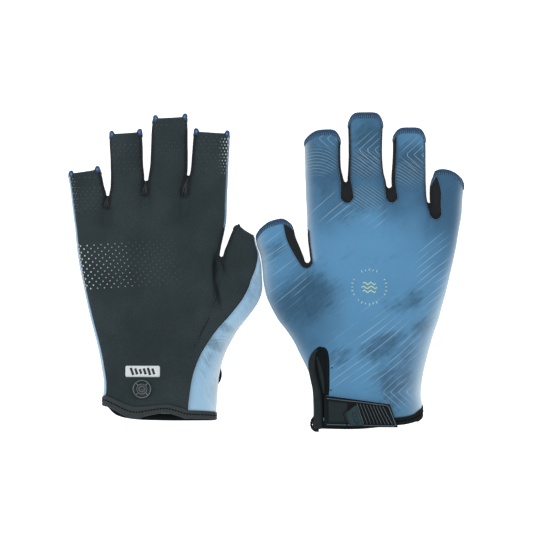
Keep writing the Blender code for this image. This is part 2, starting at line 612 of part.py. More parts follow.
def turned(skin, name, profile, upper, segments=16):
    """A round part of the snap. profile is (radius, height above the seat); a first radius of 0 fills it."""
    x, y = SNAP_CENTRE
    seat = max((skin.on(x + 5.5 * math.cos(k), y + 5.5 * math.sin(k), upper, 0) for k in range(6)),
               key=lambda p: p[2] * (1 if upper else -1))[2]
    world_x = x if skin.glove["back_is_upper"] else -x
    way = 1 if upper else -1
    points, rings = [], []
    for radius, height in profile:
        if radius == 0:
            rings.append([len(points)] * segments)
            points.append((world_x, y, seat + way * height))
        else:
            rings.append(list(range(len(points), len(points) + segments)))
            for k in range(segments):
                turn = 2 * math.pi * k / segments
                points.append((world_x + radius * math.cos(turn), y + radius * math.sin(turn),
                               seat + way * height))
    filled = profile[0][0] == 0
    faces = []
    for i in range(len(rings) - 1 if filled else len(rings)):
        a, b = rings[i], rings[(i + 1) % len(rings)]
        for k in range(segments):
            m = (k + 1) % segments
            corners = []
            for p in (a[k], a[m], b[m], b[k]):
                if p not in corners:
                    corners.append(p)
            faces.append(tuple(corners))
    return add_solid("%s_%s" % (skin.glove["name"], name), points, outward(points, faces))


def cut(obj, skin, line, upper):
    """Cuts the slit out of the back panel, from above the skin to 3 mm below it."""
    points = []
    for high in (3.0, -3.0):
        for x, y in line:
            points.append(skin.on(x, y, upper, 0) + np.array((0, 0, high)))
    n = len(line)
    faces = [tuple(range(n)), tuple(range(2 * n - 1, n - 1, -1))]
    faces += [(i, n + i, n + (i + 1) % n, (i + 1) % n) for i in range(n)]
    cutter = add_solid(obj.name + "_slit_cutter", points, outward(points, faces))
    cutter.hide_render = True
    cutter.display_type = "WIRE"
    boolean = obj.modifiers.new("slit", "BOOLEAN")
    boolean.operation, boolean.solver, boolean.object = "DIFFERENCE", "EXACT", cutter


def make_glove(glove):
    skin = Skin(glove)
    back_up = glove["back_is_upper"]

    def put(line):
        return [(x, y + glove["closure_shift"]) for x, y in line]

    names = sorted(set(skin.labels))
    made = {label: panel(skin, label) for label in names}
    for name in ("thumb",) + DIGITS:
        finger_edging(skin, name)
    wrist_tape(skin)
    slit_left, slit_right = put(SLIT_LEFT), put(SLIT_RIGHT)
    slit = slit_left + slit_right[::-1]
    cut(made["back_panel"], skin, slit, back_up)
    grow = 2.0
    plate(skin, "slit_gusset", [(x - grow, y + (1.5 if k == 0 else 0)) for k, (x, y) in enumerate(slit_left)],
          [(x + grow, y + (1.5 if k == 0 else 0)) for k, (x, y) in enumerate(slit_right)],
          back_up, -CLOTH - 1.3, 0.8, 8, 3)
    line = slit_left[4::-1] + put([(37.7, -47.6)]) + slit_right[:5]
    ribbon(skin, "slit_edging",
           [(x + (-0.9 if k < 5 else 0.9 if k > 5 else 0), y) for k, (x, y) in enumerate(line)],
           0.7, back_up, 0.95, 0.8)
    plate(skin, "strap_anchor", put(ANCHOR_LEFT), put(ANCHOR_RIGHT), back_up, HEM_CLEARANCE, 0.7, 5, 4,
          crown=0.9)
    top, foot, far_top, far_foot = put(STRAP_CORNERS)
    plate(skin, "closure_strap", (top, foot), (far_top, far_foot), back_up, STRAP_LIFT, STRAP_THICK, 4, 12)
    far_edge = [(x + 1, y) for x, y in (far_top, far_foot)]
    plate(skin, "pull_tab", (top, foot), far_edge, back_up, PULL_LIFT, PULL_THICK, 4, 14)
    plate(skin, "tab_badge", put(BADGE_LEFT), put(BADGE_RIGHT), back_up, BADGE_LIFT, BADGE_THICK, 4, 4)
    plate(skin, "hook_patch", put(((48, -84.5), (48, -96.4))), put(((80, -88.4), (83, -94.6))), back_up,
          HOOK_LIFT, PATCH_THICK, 2, 8)
    plate(skin, "loop_patch", put(((47, -83.5), (47, -96.9))), put(((82, -87.4), (85, -94.2))), back_up,
          LOOP_LIFT, PATCH_THICK, 2, 9)
    half = SNAP_DIAMETER / 2
    turned(skin, "snap_ring", [(half - 2.2, 0.45), (half - 0.3, 0.45), (half, 0.8), (half - 0.1, 1.4),
                               (half - 0.8, 1.75), (half - 1.8, 1.5), (half - 2.2, 1.1)], not back_up)
    turned(skin, "snap_button", [(0, 0.45), (half - 2.6, 0.45), (half - 2.6, 1.2), (half - 3.2, 1.9), (2.2, 1.9),
                                 (1.9, 1.6), (0, 1.6)], not back_up)
    turned(skin, "snap_backing", [(0, -2.6), (half - 1.0, -2.6), (half - 1.0, -1.8), (0, -1.8)], not back_up)
    (cx, cy), (w, h) = LABEL_CENTRE, LABEL_SIZE
    plate(skin, "wrist_label", ((cx - w / 2, cy + h / 2), (cx - w / 2, cy - h / 2)),
          ((cx + w / 2, cy + h / 2), (cx + w / 2, cy - h / 2)), not back_up, 0.3, 0.4, 2, 6)


def centre_on_origin():
    """Moves everything so that the whole object's box is centred on x and y."""
    made = [obj for obj in bpy.data.objects if obj.type == "MESH"]
    corners = np.array([vertex.co for obj in made if not obj.hide_render for vertex in obj.data.vertices])
    shift = (corners.min(axis=0) + corners.max(axis=0)) / 2
    for obj in made:
        for vertex in obj.data.vertices:
            vertex.co.x -= shift[0]
            vertex.co.y -= shift[1]
        obj.data.update()


for old in list(bpy.data.objects):
    bpy.data.objects.remove(old)
for one in (BACK_UP, PALM_UP):
    make_glove(one)
centre_on_origin()
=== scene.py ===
"""The finished look of two half-finger sailing gloves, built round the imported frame.

back_up_* lies with the back of the hand up, palm_up_* with the palm up. Shapes are worked out in the hand frame, in
millimetres: x runs from the thumb side to the little finger, y from the wrist up to the finger ends, z up from the
table. The palm-up glove is the same hand with x turned round.
"""

import math

import bpy
import numpy as np
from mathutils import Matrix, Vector, noise
from mathutils.bvhtree import BVHTree


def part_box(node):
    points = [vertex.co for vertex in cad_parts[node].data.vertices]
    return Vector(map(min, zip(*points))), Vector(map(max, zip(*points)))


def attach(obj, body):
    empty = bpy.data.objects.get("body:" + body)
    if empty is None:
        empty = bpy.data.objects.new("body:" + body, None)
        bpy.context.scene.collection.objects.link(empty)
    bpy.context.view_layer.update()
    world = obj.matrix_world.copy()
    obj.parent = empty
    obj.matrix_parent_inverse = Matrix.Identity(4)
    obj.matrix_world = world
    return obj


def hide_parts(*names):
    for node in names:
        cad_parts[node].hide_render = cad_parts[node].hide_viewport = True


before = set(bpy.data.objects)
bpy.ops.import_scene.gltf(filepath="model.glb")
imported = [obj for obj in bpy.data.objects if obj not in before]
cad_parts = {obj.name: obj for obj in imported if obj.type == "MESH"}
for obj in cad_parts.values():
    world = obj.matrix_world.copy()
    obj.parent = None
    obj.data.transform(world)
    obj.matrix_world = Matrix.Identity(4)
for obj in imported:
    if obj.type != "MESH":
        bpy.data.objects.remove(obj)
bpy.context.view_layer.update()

# ---------------------------------------------------------------- driving dimensions, millimetres
CLOTH = 0.95  # thickness of a sewn panel
GROOVE, FLUSH = 0.32, 0.04  # how far a panel's seam edge is drawn down, and where its cloth simply runs on
EDGING_WIDTH, EDGING_RISE, EDGING_STEP = 3.3, 0.3, 0.16  # overlocked edging, its height, and the pitch of its sections
EDGING_GAP = 0.15  # between a panel's end and its edging
THREAD_TURN = 1.28  # one wrap of the overlock thread
DIGIT_ROUND = 2.15  # superellipse exponent of a finger
HAND_ROUND = {True: 2.5, False: 3.4}  # and of the hand, on the face that lies up and on the one on the table
WEB_DEPTH = 0.42  # how round the foot of a slot is, as a share of its width
FOURCHETTE_SEAM = 1.3  # how far a seam sits in from the side of a finger
SNAP_CENTRE, LABEL_CENTRE, LABEL_SIZE = (80.3, -76.4), (79.8, -64.8), (22.7, 7.4)
EMBLEM_CENTRE = (69.3, -9.2)
STRAP_LIFT, STRAP_THICK, PULL_LIFT, PULL_THICK = 1.8, 0.8, 2.85, 1.0
TAB_TOP = PULL_LIFT + PULL_THICK - 0.2  # what stands on the strap's moulding starts here
DIGITS = ("index", "middle", "ring", "little")

# mesh fineness: spans across a finger, across a side strip, across a web, and rows along each region
ACROSS, SIDE, WEB, FINGER_ROWS, KNUCKLE_ROWS, HAND_ROWS = 12, 6, 6, 30, 16, 56

# (y, millimetres) from finger end to wrist: height of the hand's middle above the table, and half thicknesses
CENTRE_HEIGHT = ((105, 7.6), (60, 8.2), (35, 9.6), (0, 10.3), (-35, 10.6), (-60, 12.2), (-110, 12.3))
HALF_THICK = ((60, 7.4), (30, 9.6), (0, 11.0), (-35, 10.4), (-60, 7.4), (-110, 7.0))
DIGIT_HALF = ((105, 6.6), (60, 7.0), (-10, 7.6))

# Outlines are (x, y) from the finger end towards the wrist. "a" is a finger's thumb side, "b" its other side.
# tips: y of a finger's end at a and at b, and how far its back bulges past them; crown_round: how square that is.
# webs: y of a slot's foot on the upper face, on the lower face, and the tip of the web between them.
# wrist_*, tape_width: (share from the thumb side across, y or width) on the upper and the lower face.
# folds: a line (x0, y0, x1, y1), its height and its half width; and painted shade in the sharpest folds, as dark ovals,
# each a patch() with its lean.
BACK_UP = {
    "name": "back_up",
    "edges": {
        "thumb_a": ((-5.6, 25.5), (-4.8, 19), (-2.5, 12.5), (-1.1, 3.7), (-0.6, -4), (0.4, -11), (2.4, -18.3),
                    (8.6, -30), (13.9, -36.8), (19.1, -44.2), (23.1, -52.1), (27.1, -60), (30.4, -68), (31.8, -76),
                    (32.3, -84), (32.4, -104)),
        "thumb_b": ((19.4, 31.9), (21.1, 23), (24.6, 15), (27.0, 8), (27.6, 0)),
        "index_a": ((26.4, 88.4), (27.1, 72), (27.6, 55), (28.4, 38), (29.0, 23), (30.4, 11), (31.6, -2)),
        "index_b": ((50.8, 88.4), (50.8, 70), (52.3, 62.7), (53.6, 58), (53.8, 46)),
        "middle_a": ((55.4, 102), (55.9, 80), (55.5, 66), (55.3, 60), (57.0, 46)),
        "middle_b": ((78.5, 102), (78.2, 80), (79.2, 66), (80.7, 60), (82.3, 46)),
        "ring_a": ((85.1, 91.3), (84.8, 75), (84.2, 63), (84.5, 57), (86.2, 46)),
        "ring_b": ((106.9, 91.3), (106.9, 70), (107.2, 55), (108.3, 46), (111.8, 35)),
        "little_a": ((110.2, 62.7), (109.3, 52), (109.7, 46), (111.6, 39), (113.2, 34)),
        "little_b": ((132.8, 59.1), (131.4, 51), (130.4, 39), (128.7, 27), (126.7, 15), (124.1, 3.3), (121.4, -8.6),
                     (118.1, -20.5), (114.8, -32.3), (110.9, -44.2), (107.6, -56.1), (104.9, -68), (103.4, -80),
                     (104.6, -88), (104.8, -104)),
    },
    "seams": {"thumb_b": ((32, 6.4), (24, 6.2), (17, 6.2), (10, 5.0), (4, 2.4)),
              "index_b": ((88, 1.6), (66, 1.8), (56, 2.9), (46, 2.9)),
              "middle_a": ((102, 1.5), (66, 1.6), (56, 2.4), (46, 2.4)), "middle_b": ((102, 1.0), (46, 1.2)),
              "ring_a": ((91, 2.2), (46, 2.6)), "ring_b": ((91, 0.8), (35, 0.9)),
              "little_a": ((64, 3.4), (58, 6.0), (51, 7.4), (38, 5.2))},
    "tips": {"thumb": (25.0, 31.4, 7.0), "index": (87.6, 88.6, 6.9), "middle": (99.4, 99.4, 7.0),
             "ring": (90.2, 90.2, 6.2), "little": (60.6, 58.6, 9.2)},
    "crown_round": {"thumb": (2.6, 3.6), "index": (2.3, 5.5), "middle": (5.5, 6.5), "ring": (4.5, 5.5),
                    "little": (2.8, 2.3)},
    "webs": {"thumb": (6.8, 6.6, 8.4), "index": (49.6, 51.0, 61.0), "middle": (49.6, 51.0, 57.6),
             "ring": (38.4, 42.0, 47.2)},
    "row_ends": {"index_a": 48.0, "little_b": 32.0, "thumb_a": -8.0, "hand_b": -2.0},
    "thumb_share": (0.16, 0.05),
    "wrist_upper": ((0, -98.0), (0.4, -98.2), (0.76, -95.9), (0.86, -95.2), (0.93, -94.2), (0.97, -93.0), (1, -91.2)),
    "wrist_lower": ((0, -95.5), (0.35, -93), (0.8, -92.5), (0.94, -88.6), (1, -85.2)),
    "tape_width": (((0, 4.6), (0.8, 4.7), (0.93, 5.2), (1, 7.0)), ((0, 4.6), (0.8, 4.6), (0.94, 5.4), (1, 6.6))),
    "closure_shift": 0.0,
    "folds": ((32, -47, 40, -49.5, -0.7, 1.6), (29.5, 6, 31, -8, -0.9, 1.5), (26, 2, 20, -8, 0.5, 3.5),
              (40, -47, 50, -51, -0.35, 1.5), (26, 60, 27, 20, -0.5, 1.8), (52, 44, 56, 36, -0.3, 2.2),
              (84, 44, 83, 36, -0.3, 2.2)),
    "fold_shade_spots": (),
}
PALM_UP = {
    "name": "palm_up",
    "edges": {
        "thumb_a": ((6.3, 25.0), (5.3, 19), (3.2, 12.5), (1.7, 3.7), (1.2, -4.3), (0.9, -10), (2.3, -16.5),
                    (5.0, -21.5), (9.9, -28.4), (16.3, -36.3), (21.1, -44.2), (25.0, -52.1), (27.7, -60),
                    (29.6, -68), (30.5, -76), (31.0, -84), (31.8, -98)),
        "thumb_b": ((18.4, 32.5), (21.1, 27), (24.4, 19.1), (26.4, 14), (27.8, 6)),
        "index_a": ((23.0, 92.6), (22.5, 86.5), (23.8, 66.7), (24.4, 50.8), (24.7, 35), (26.4, 26), (28.6, 15),
                    (31.0, 2)),
        "index_b": ((45.9, 94.1), (46.9, 86.5), (48.2, 72), (49.0, 66), (50.6, 59), (51.7, 48)),
        "middle_a": ((50.9, 103.8), (50.6, 97), (50.2, 74), (50.6, 65), (52.4, 58), (54.2, 48)),
        "middle_b": ((72.8, 102.7), (73.9, 97), (75.0, 74), (76.3, 64), (77.3, 58), (77.6, 49)),
        "ring_a": ((80.8, 93.7), (80.5, 86.5), (79.8, 72), (78.9, 62), (79.3, 56), (80.2, 49)),
        "ring_b": ((101.7, 92.3), (102.2, 86.5), (101.3, 72), (101.2, 58), (102.3, 51), (103.4, 41)),
        "little_a": ((108.7, 69.1), (107.2, 64), (105.9, 58), (104.2, 52), (104.6, 47), (105.6, 41)),
        "little_b": ((128.5, 66.0), (129.2, 62.5), (128.4, 57), (126.7, 43), (124.7, 27), (122.8, 11.2),
                     (120.1, -4.6), (116.8, -20.5), (114.0, -32.3), (110.9, -44.2), (108.2, -56.1), (106.3, -68),
                     (105.8, -76), (106.5, -83), (106.6, -98)),
    },
    "seams": {},
    "tips": {"thumb": (25.0, 32.5, -1.0), "index": (92.6, 94.1, -1.4), "middle": (103.8, 102.7, -1.3),
             "ring": (93.7, 92.3, -1.3), "little": (69.1, 66.0, -1.0)},
    "crown_round": dict.fromkeys(DIGITS + ("thumb",), (2, 2)),
    "webs": {"thumb": (9.5, 4.0, 11.7), "index": (52.2, 49.0, 65.0), "middle": (53.2, 49.0, 61.6),
             "ring": (44.6, 38.0, 51.6)},
    "row_ends": {"index_a": 50.0, "little_b": 38.0, "thumb_a": -9.0, "hand_b": 0.0},
    "thumb_share": (0.05, 0.16),
    "wrist_upper": ((0, -90.8), (0.14, -88.3), (0.26, -87.0), (0.5, -88.1), (0.62, -88.5), (0.73, -87.3),
                    (0.85, -84.4), (1, -80.8)),
    "wrist_lower": ((0, -93.0), (0.35, -93.2), (0.62, -92.9), (0.74, -92.4), (0.86, -91.0), (0.94, -88.6),
                    (1, -84.2)),
    "tape_width": (((0, 5.0), (0.16, 5.9), (0.36, 5.3), (0.48, 5.6), (0.62, 7.0), (0.72, 7.8), (0.9, 7.2), (1, 6.2)),
                   ((0, 4.6), (1, 4.4))),
    "closure_shift": 5.2,  # the whole closure sits this much nearer the fingers
    "folds": ((31.5, 14, 31.0, 2, -1.1, 1.5), (32.2, 6, 31.2, -24, -1.3, 1.5), (35, 8, 34, -18, 0.6, 2.0),
              (28.5, 8, 24.5, -8, -0.45, 1.8), (53, 49, 53.6, 57, -0.8, 1.0), (56, 62, 54, 49, -0.6, 0.9),
              (78.4, 50, 78.8, 58, -0.8, 1.0), (75.6, 60, 77.6, 49, -0.6, 0.9), (103.4, 41, 103.4, 49, -0.8, 1.0),
              (32, 62, 44, 60, -0.35, 2.2), (60, 66, 70, 68, -0.35, 2.4), (26, 45, 40, 48, -0.3, 2.6),
              (104, 58, 98, 43, 0.3, 2.0), (47, 66, 44, 58, -0.3, 1.6)),
    "fold_shade_spots": ((32.6, 2.5, 1.2, 8.0, 0.85, 0.03), (30.6, -13, 1.1, 9.0, 0.65, -0.22), (27.2, 5.5, 1.1, 5.0, 0.5, -0.3)),
}
# (y, how far in) of the seam from the side of the hand, on the palm face and on the back's own face
PALM_WRAP = {"thumb_a": ((30, 0.5), (13, 0.6), (4, 3.4), (-8, 8.6), (-18, 11.6), (-36, 13.6), (-50, 15.4), (-63, 16.9),
                         (-86, 18.6))}
PALM_WRAP["index_a"] = PALM_WRAP["little_b"] = ((60, 1.0), (-60, 1.6), (-90, 1.8))
BACK_WRAP = {"index_a": ((90, 2.6), (42, 2.6), (26, 1.3), (0, 1.3))}
BACK_WRAP["thumb_a"] = BACK_WRAP["little_b"] = ((90, 2.6), (-90, 3.2))

# Closure on the back of the wrist: a keyhole slit by the thumb side, with a hook-and-loop strap across it
SLIT_LEFT = ((37.4, -49.6), (33.9, -53.5), (32.6, -59), (33.5, -66), (35.0, -74), (36.0, -82), (36.4, -95.4))
SLIT_RIGHT = ((38.0, -49.6), (40.6, -53.5), (41.8, -60), (41.9, -68), (41.0, -75), (39.9, -82), (39.6, -95.4))
SLIT_RIM = ((33.0, -53.6), (34.7, -51.0), (37.4, -49.5), (40.0, -50.5), (41.4, -53.8), (42.0, -60.5), (42.0, -68),
            (42.0, -75), (41.6, -80.6))
FOLD_SPINE = ((35.0, -50.4), (32.9, -53.4), (31.6, -58.0), (31.7, -63.5), (33.2, -71), (34.9, -79), (35.9, -88),
              (36.0, -96))
FOLD_FOOT = {True: (35.8, -102.9), False: (35.8, -98.4)}  # by whether the back is up
PLEAT = ((34.6, -55), (36.2, -60.5), (37.6, -66), (38.8, -73), (39.6, -80))
STRAP_CORNERS = ((40.4, -80.6), (40.4, -101.2), (82.7, -86.4), (87.9, -101.6))  # root top, foot; free top, foot
TAB_RIM = ((0.035, 0.08), (0.5, 0.075), (0.93, 0.07), (0.965, 0.12), (0.975, 0.5), (0.978, 0.90), (0.955, 0.935),
           (0.5, 0.93), (0.035, 0.925))  # shares of the strap's length and width
BADGE_TIP, BADGE_KNEE, BADGE_HEEL, BADGE_FAR_HEEL = (60.6, -86.6), (54.3, -92.4), (56.6, -100.0), (66.0, -100.6)
BADGE_FRAME = ((58.4, -85.9), (52.6, -92.3), (54.9, -100.6))
BADGE_MARK = (60.3, -95.2)
HEM_LOOP = ((33.6, -94.6), (31.6, -97.4), (31.4, -101.2), (33.4, -103.6), (36.0, -103.9))
SLIT_BULGE = ((30.6, -65.6), (29.3, -68.5), (28.8, -72.2), (29.3, -75.8), (30.5, -78.6))
BAR_TACKS = ((43.9, -62.6), (43.4, -77.2))

# The printed pattern. TONES: (x, y, tone), how light the blue is round a place, 0 dark to 1 light
TONES = {
    "back_up": ((38, 70, 0.22), (40, 46, 0.35), (68, 84, 0.32), (66, 60, 0.32), (96, 82, 0.6), (96, 68, 0.25),
                (96, 56, 0.35), (120, 54, 0.0), (124, 42, 0.05), (114, 34, 0.35), (104, 28, 0.7), (64, 30, 0.85),
                (70, 8, 1.0), (44, 8, 0.95), (10, 16, 0.7), (8, -4, 0.75), (14, -22, 0.25), (22, -38, 0.30),
                (28, -28, 0.0), (28, -14, 0.10), (40, -26, 0.40), (62, -26, 0.95), (92, -14, 0.75), (56, -48, 0.85),
                (80, -40, 0.70), (92, -60, 0.55), (64, -74, 0.80), (50, -90, 0.7), (86, -88, 0.45), (34, -50, 0.40)),
    "palm_up": ((20, -40, 0.9), (34, -46, 0.6), (40, -60, 0.75), (30, -80, 1.0), (8, -12, 0.7), (110, 20, 0.5)),
}
# Patches are (x, y, half width, half height, strength). SMOKE: soft dark patches
SMOKE = {
    "back_up": ((28, -17, 17, 11, 0.75), (94, -19, 10, 6, 0.55), (78, -48, 13, 6, 0.7), (92, -55, 9, 5, 0.6),
                (50, -55, 7, 5, 0.55), (86, -70, 9, 8, 0.65), (84, -84, 8, 6, 0.5), (38, 68, 8, 15, 0.4),
                (70, 90, 9, 7, 0.8), (66, 72, 9, 7, 0.6), (98, 74, 9, 9, 0.75), (6, 14, 9, 5, 0.5),
                (104, -36, 8, 4, 0.45), (62, 42, 12, 4, 0.35), (122, 48, 6, 10, 0.3)),
    "palm_up": ((35, -46, 9, 3, 0.95), (25, -36, 6, 2.5, 0.7), (28, -74, 4, 9, 0.75), (38, -60, 4, 8, 0.5),
                (6, -10, 4, 8, 0.5)),
}
RAIN = {  # slanting hairlines
    "back_up": ((46, 43, 14, 9, 1.0), (74, 38, 8, 7, 1.0), (94, 40, 6, 7, 1.0), (112, 0, 10, 26, 1.0),
                (76, -50, 26, 20, 1.0), (14, -6, 16, 15, 0.9), (66, -22, 16, 9, 0.5), (52, -66, 12, 8, 0.8),
                (10, 16, 12, 10, 0.9)),
    "palm_up": ((36, -58, 10, 14, 1.0), (30, -76, 9, 16, 1.0), (14, -30, 10, 8, 0.8)),
}
CHEVRON = {  # hairlines folded to a point at the patch's middle
    "back_up": ((42, 88.5, 8, 6, 1.0), (70, 81, 10, 13, 1.1), (99, 78, 9, 12, 1.1), (88, -78.4, 11, 12, 1.0)),
    "palm_up": (),
}
WAVE = {  # close contour lines, with the x of their crest and how fast they fall away from it
    "back_up": ((38, 74, 13, 9, 1.0, 34.5, 0.030), (67, 72, 13, 9, 1.2, 52, 0.040), (68, 50, 12, 8, 1.1, 52, 0.036),
                (96, 66, 12, 8, 1.1, 84, 0.040), (14, 16, 8, 5, 0.35, 24, 0.03)),
    "palm_up": ((33, -43, 12, 4, 0.5, 30, 0.03),),
}


# ---------------------------------------------------------------- lines and numbers
def along(points, y):
    """Value at y of a smooth line through (value, y) points given from high y to low y."""
    xs, ys = zip(*points[::-1])
    if y <= ys[0]:
        return xs[0]
    if y >= ys[-1]:
        return xs[-1]
    last = len(xs) - 1
    i = max(k for k in range(last) if ys[k] <= y)
    slope, end_slope = ((xs[min(k + 1, last)] - xs[max(k - 1, 0)]) / (ys[min(k + 1, last)] - ys[max(k - 1, 0)])
                        for k in (i, i + 1))
    run = ys[i + 1] - ys[i]
    t = (y - ys[i]) / run
    return ((2 * t**3 - 3 * t**2 + 1) * xs[i] + (t**3 - 2 * t**2 + t) * run * slope
            + (3 * t**2 - 2 * t**3) * xs[i + 1] + (t**3 - t**2) * run * end_slope)


def ramp(points, at):
    """Smooth value at a key, for (key, value) points in falling or rising order."""
    return float(along([(value, key) for key, value in sorted(points)[::-1]], at))


def ease(t):
    t = min(max(t, 0.0), 1.0)
    return t * t * (3 - 2 * t)


def power(value, exponent):
    return math.copysign(abs(value) ** exponent, value)


def lerp(a, b, t):
    return tuple(p + (q - p) * t for p, q in zip(a, b))


def bowed(start, stop, middle, t):
    """The level t of the way from start to stop, drawn towards middle half way along."""
    level = start + (stop - start) * t
    return level if middle is None else level + (middle - level) * math.sin(math.pi * t) ** 0.8


def turns(count):
    return [2 * math.pi * k / count for k in range(count)]


def unit(vector):
    return vector / max(np.linalg.norm(vector), 1e-9)


def curve_through(points, count):
    """A smooth open plan line through points (Catmull-Rom)."""
    p = [np.array(q, float) for q in points]
    p = [2 * p[0] - p[1]] + p + [2 * p[-1] - p[-2]]
    made = []
    for i in range(count + 1):
        t = i / count * (len(p) - 3)
        k = min(int(t), len(p) - 4)
        u, (a, b, c, d) = t - k, p[k:k + 4]
        made.append(tuple(0.5 * (2 * b + (c - a) * u + (2 * a - 5 * b + 4 * c - d) * u**2
                                 + (3 * b - a - 3 * c + d) * u**3)))
    return made


def straight(points, steps=10, pitch=None):
    """A plan line with straight stretches between points, in even steps or in steps of about one pitch."""
    made = []
    for a, b in zip(points, points[1:]):
        count = max(int(math.dist(a, b) / pitch), 1) if pitch else steps
        made += [lerp(a, b, k / count) for k in range(count)]
    return made + [tuple(points[-1])]


def resampled(line, pitch):
    """The same line of (point, vector, vector, ...) tuples, evenly spaced."""
    rows = [np.array(column) for column in zip(*line)]
    length = np.concatenate([[0], np.cumsum(np.linalg.norm(np.diff(rows[0], axis=0), axis=1))])
    at = np.linspace(0, length[-1], max(int(length[-1] / pitch), 2) + 1)
    return list(zip(*(np.stack([np.interp(at, length, row[:, k]) for k in range(3)], axis=1) for row in rows)))


def patch(spot, x, y, sharp=2.0, lean=0.0):
    """The strength of a soft-edged oval patch (x, y, half width, half height, strength), falling to 0 outside it."""
    dx, dy = x - spot[0], y - spot[1]
    dx, dy = dx * math.cos(lean) + dy * math.sin(lean), dy * math.cos(lean) - dx * math.sin(lean)
    far = math.hypot(dx / spot[2], dy / spot[3])
    return spot[4] * ease((sharp - far) / (sharp - 0.6)) if far < sharp else 0.0


# ---------------------------------------------------------------- the skin of one glove
class Skin:
    """The outer surface of one glove as labelled four-sided faces, and what lays things on it."""

    def __init__(self, glove):
        self.glove, self.name = glove, glove["name"]
        self.back_up = self.name == "back_up"
        self.points, self.faces, self.labels, self.tips = [], [], [], {}
        self.upper, self.lower = ("back_panel", "palm_panel")[:: 1 if self.back_up else -1]
        self.make()
        if not self.back_up:  # the palm runs on into the thumb without a seam
            self.points = [(-x, y, z) for x, y, z in self.points]
            self.faces = [face[::-1] for face in self.faces]
            self.labels = ["palm_panel" if label == "thumb_panel" else label for label in self.labels]
        self.points = np.array(self.points)
        self.normals = self.vertex_normals()
        self.wrinkle()
        self.normals = self.vertex_normals()
        self.tree = self.ray_tree()

    def put(self, x, y, z):
        self.points.append((x, y, max(z, 0.0)))
        return len(self.points) - 1

    def grid(self, rows, label, turn=False):
        """Faces of rows of point numbers. label is a name or a function of (row, column)."""
        for r in range(len(rows) - 1):
            for c in range(len(rows[r]) - 1):
                face = (rows[r][c], rows[r + 1][c], rows[r + 1][c + 1], rows[r][c + 1])
                self.faces.append(face[::-1] if turn else face)
                self.labels.append(label(r, c) if callable(label) else label)

    def inset(self, edge, upper, y):
        """How far in from the side of a finger or of the hand its seam lies."""
        back_face = upper == self.back_up
        lines = {**self.glove["seams"], **BACK_WRAP} if back_face else PALM_WRAP
        return ramp(lines[edge], y) if edge in lines else FOURCHETTE_SEAM

    def digit(self, name, foot_a, foot_b):
        """A finger's rows of points. foot_a and foot_b give its last y on each side as (upper, lower, middle)."""
        edge_a, edge_b = (self.glove["edges"][name + end] for end in ("_a", "_b"))
        tip_a, tip_b, crown = self.glove["tips"][name]
        round_a, round_b = self.glove["crown_round"][name]

        def section(y, kind, t):
            """A point of the section: kind is upper, lower, a or b, t runs a to b or upper to lower."""
            left, right = along(edge_a, y), along(edge_b, y)
            half = (right - left) / 2

            def angle(end, up):
                return math.acos(max(1 - self.inset(name + end, up, y) / half, 0.05) ** (DIGIT_ROUND / 2))

            ends = {"upper": lambda: (math.pi - angle("_a", True), angle("_b", True)),
                    "lower": lambda: (math.pi + angle("_a", False), 2 * math.pi - angle("_b", False)),
                    "a": lambda: (math.pi - angle("_a", True), math.pi + angle("_a", False)),
                    "b": lambda: (angle("_b", True), -angle("_b", False))}
            first, last = ends[kind]()
            turn = first + (last - first) * t
            return ((right + left) / 2 + half * power(math.cos(turn), 2 / DIGIT_ROUND), y,
                    ramp(CENTRE_HEIGHT, y) + ramp(DIGIT_HALF, y) * power(math.sin(turn), 2 / DIGIT_ROUND))

        def top(kind, t):
            """Where the panel stops, short of the edging that goes on to the finger's end."""
            x, _, z = section((tip_a + tip_b) / 2, kind, t)
            left, right = along(edge_a, tip_a), along(edge_b, tip_b)
            s = min(max((2 * x - left - right) / (right - left), -1.0), 1.0)
            on_top = z >= ramp(CENTRE_HEIGHT, tip_a) - 0.01
            bulge = crown * (1 - abs(s) ** (round_a if s < 0 else round_b)) if on_top else 0.0
            if kind in ("upper", "lower"):
                share = (kind == "upper") == self.back_up
            else:
                share = min(1.0, 2 - 2 * (t if self.back_up else 1 - t))
            return tip_a + (tip_b - tip_a) * (s + 1) / 2 + bulge - (EDGING_WIDTH * share + EDGING_GAP if share else 0)

        def foot(kind, t):
            if kind in ("upper", "lower"):
                return bowed(*((foot[kind == "lower"]) for foot in (foot_a, foot_b)), None, t)
            return bowed(*(foot_a if kind == "a" else foot_b), t)

        made = {}
        for kind, spans in (("upper", ACROSS), ("lower", ACROSS), ("a", SIDE), ("b", SIDE)):
            made[kind] = []
            for r in range(FINGER_ROWS + 1):
                row = []
                for c in range(spans + 1):
                    if kind in ("a", "b") and c in (0, spans):
                        row.append(made["lower" if c else "upper"][r][0 if kind == "a" else -1])
                    else:
                        start, t = top(kind, c / spans), c / spans
                        row.append(self.put(*section(start + (foot(kind, t) - start) * r / FINGER_ROWS, kind, t)))
                made[kind].append(row)
        self.tips[name] = made
        return made

    def block(self, head, rows_count, edge_a, upto, shares, fade, labels):
        """A region of hand below a row of fingers. head holds its first row, as lists of point numbers; upto gives
        its last y; labels are those of its upper face, lower face and thumb side."""
        line_a, line_b = self.glove["edges"][edge_a], self.glove["edges"]["little_b"]
        bands = {kind: [list(row)] for kind, row in head.items()}
        start = {i: self.points[i] for row in head.values() for i in row}

        def height(i, y, high):
            """The height at y of what started as point i, as its start's own height gives way to the hand's."""
            own = start[i][2] - ramp(CENTRE_HEIGHT, start[i][1])
            return ramp(CENTRE_HEIGHT, y) + (1 - mix) * own + mix * high

        def hand(x, y, up):
            left, right = along(line_a, y), along(line_b, y)
            s = min(abs((2 * x - left - right) / (right - left)), 1.0)
            high = ramp(HALF_THICK, y) * (1 - s ** HAND_ROUND[up]) ** (1 / HAND_ROUND[up])
            return high if up else -high

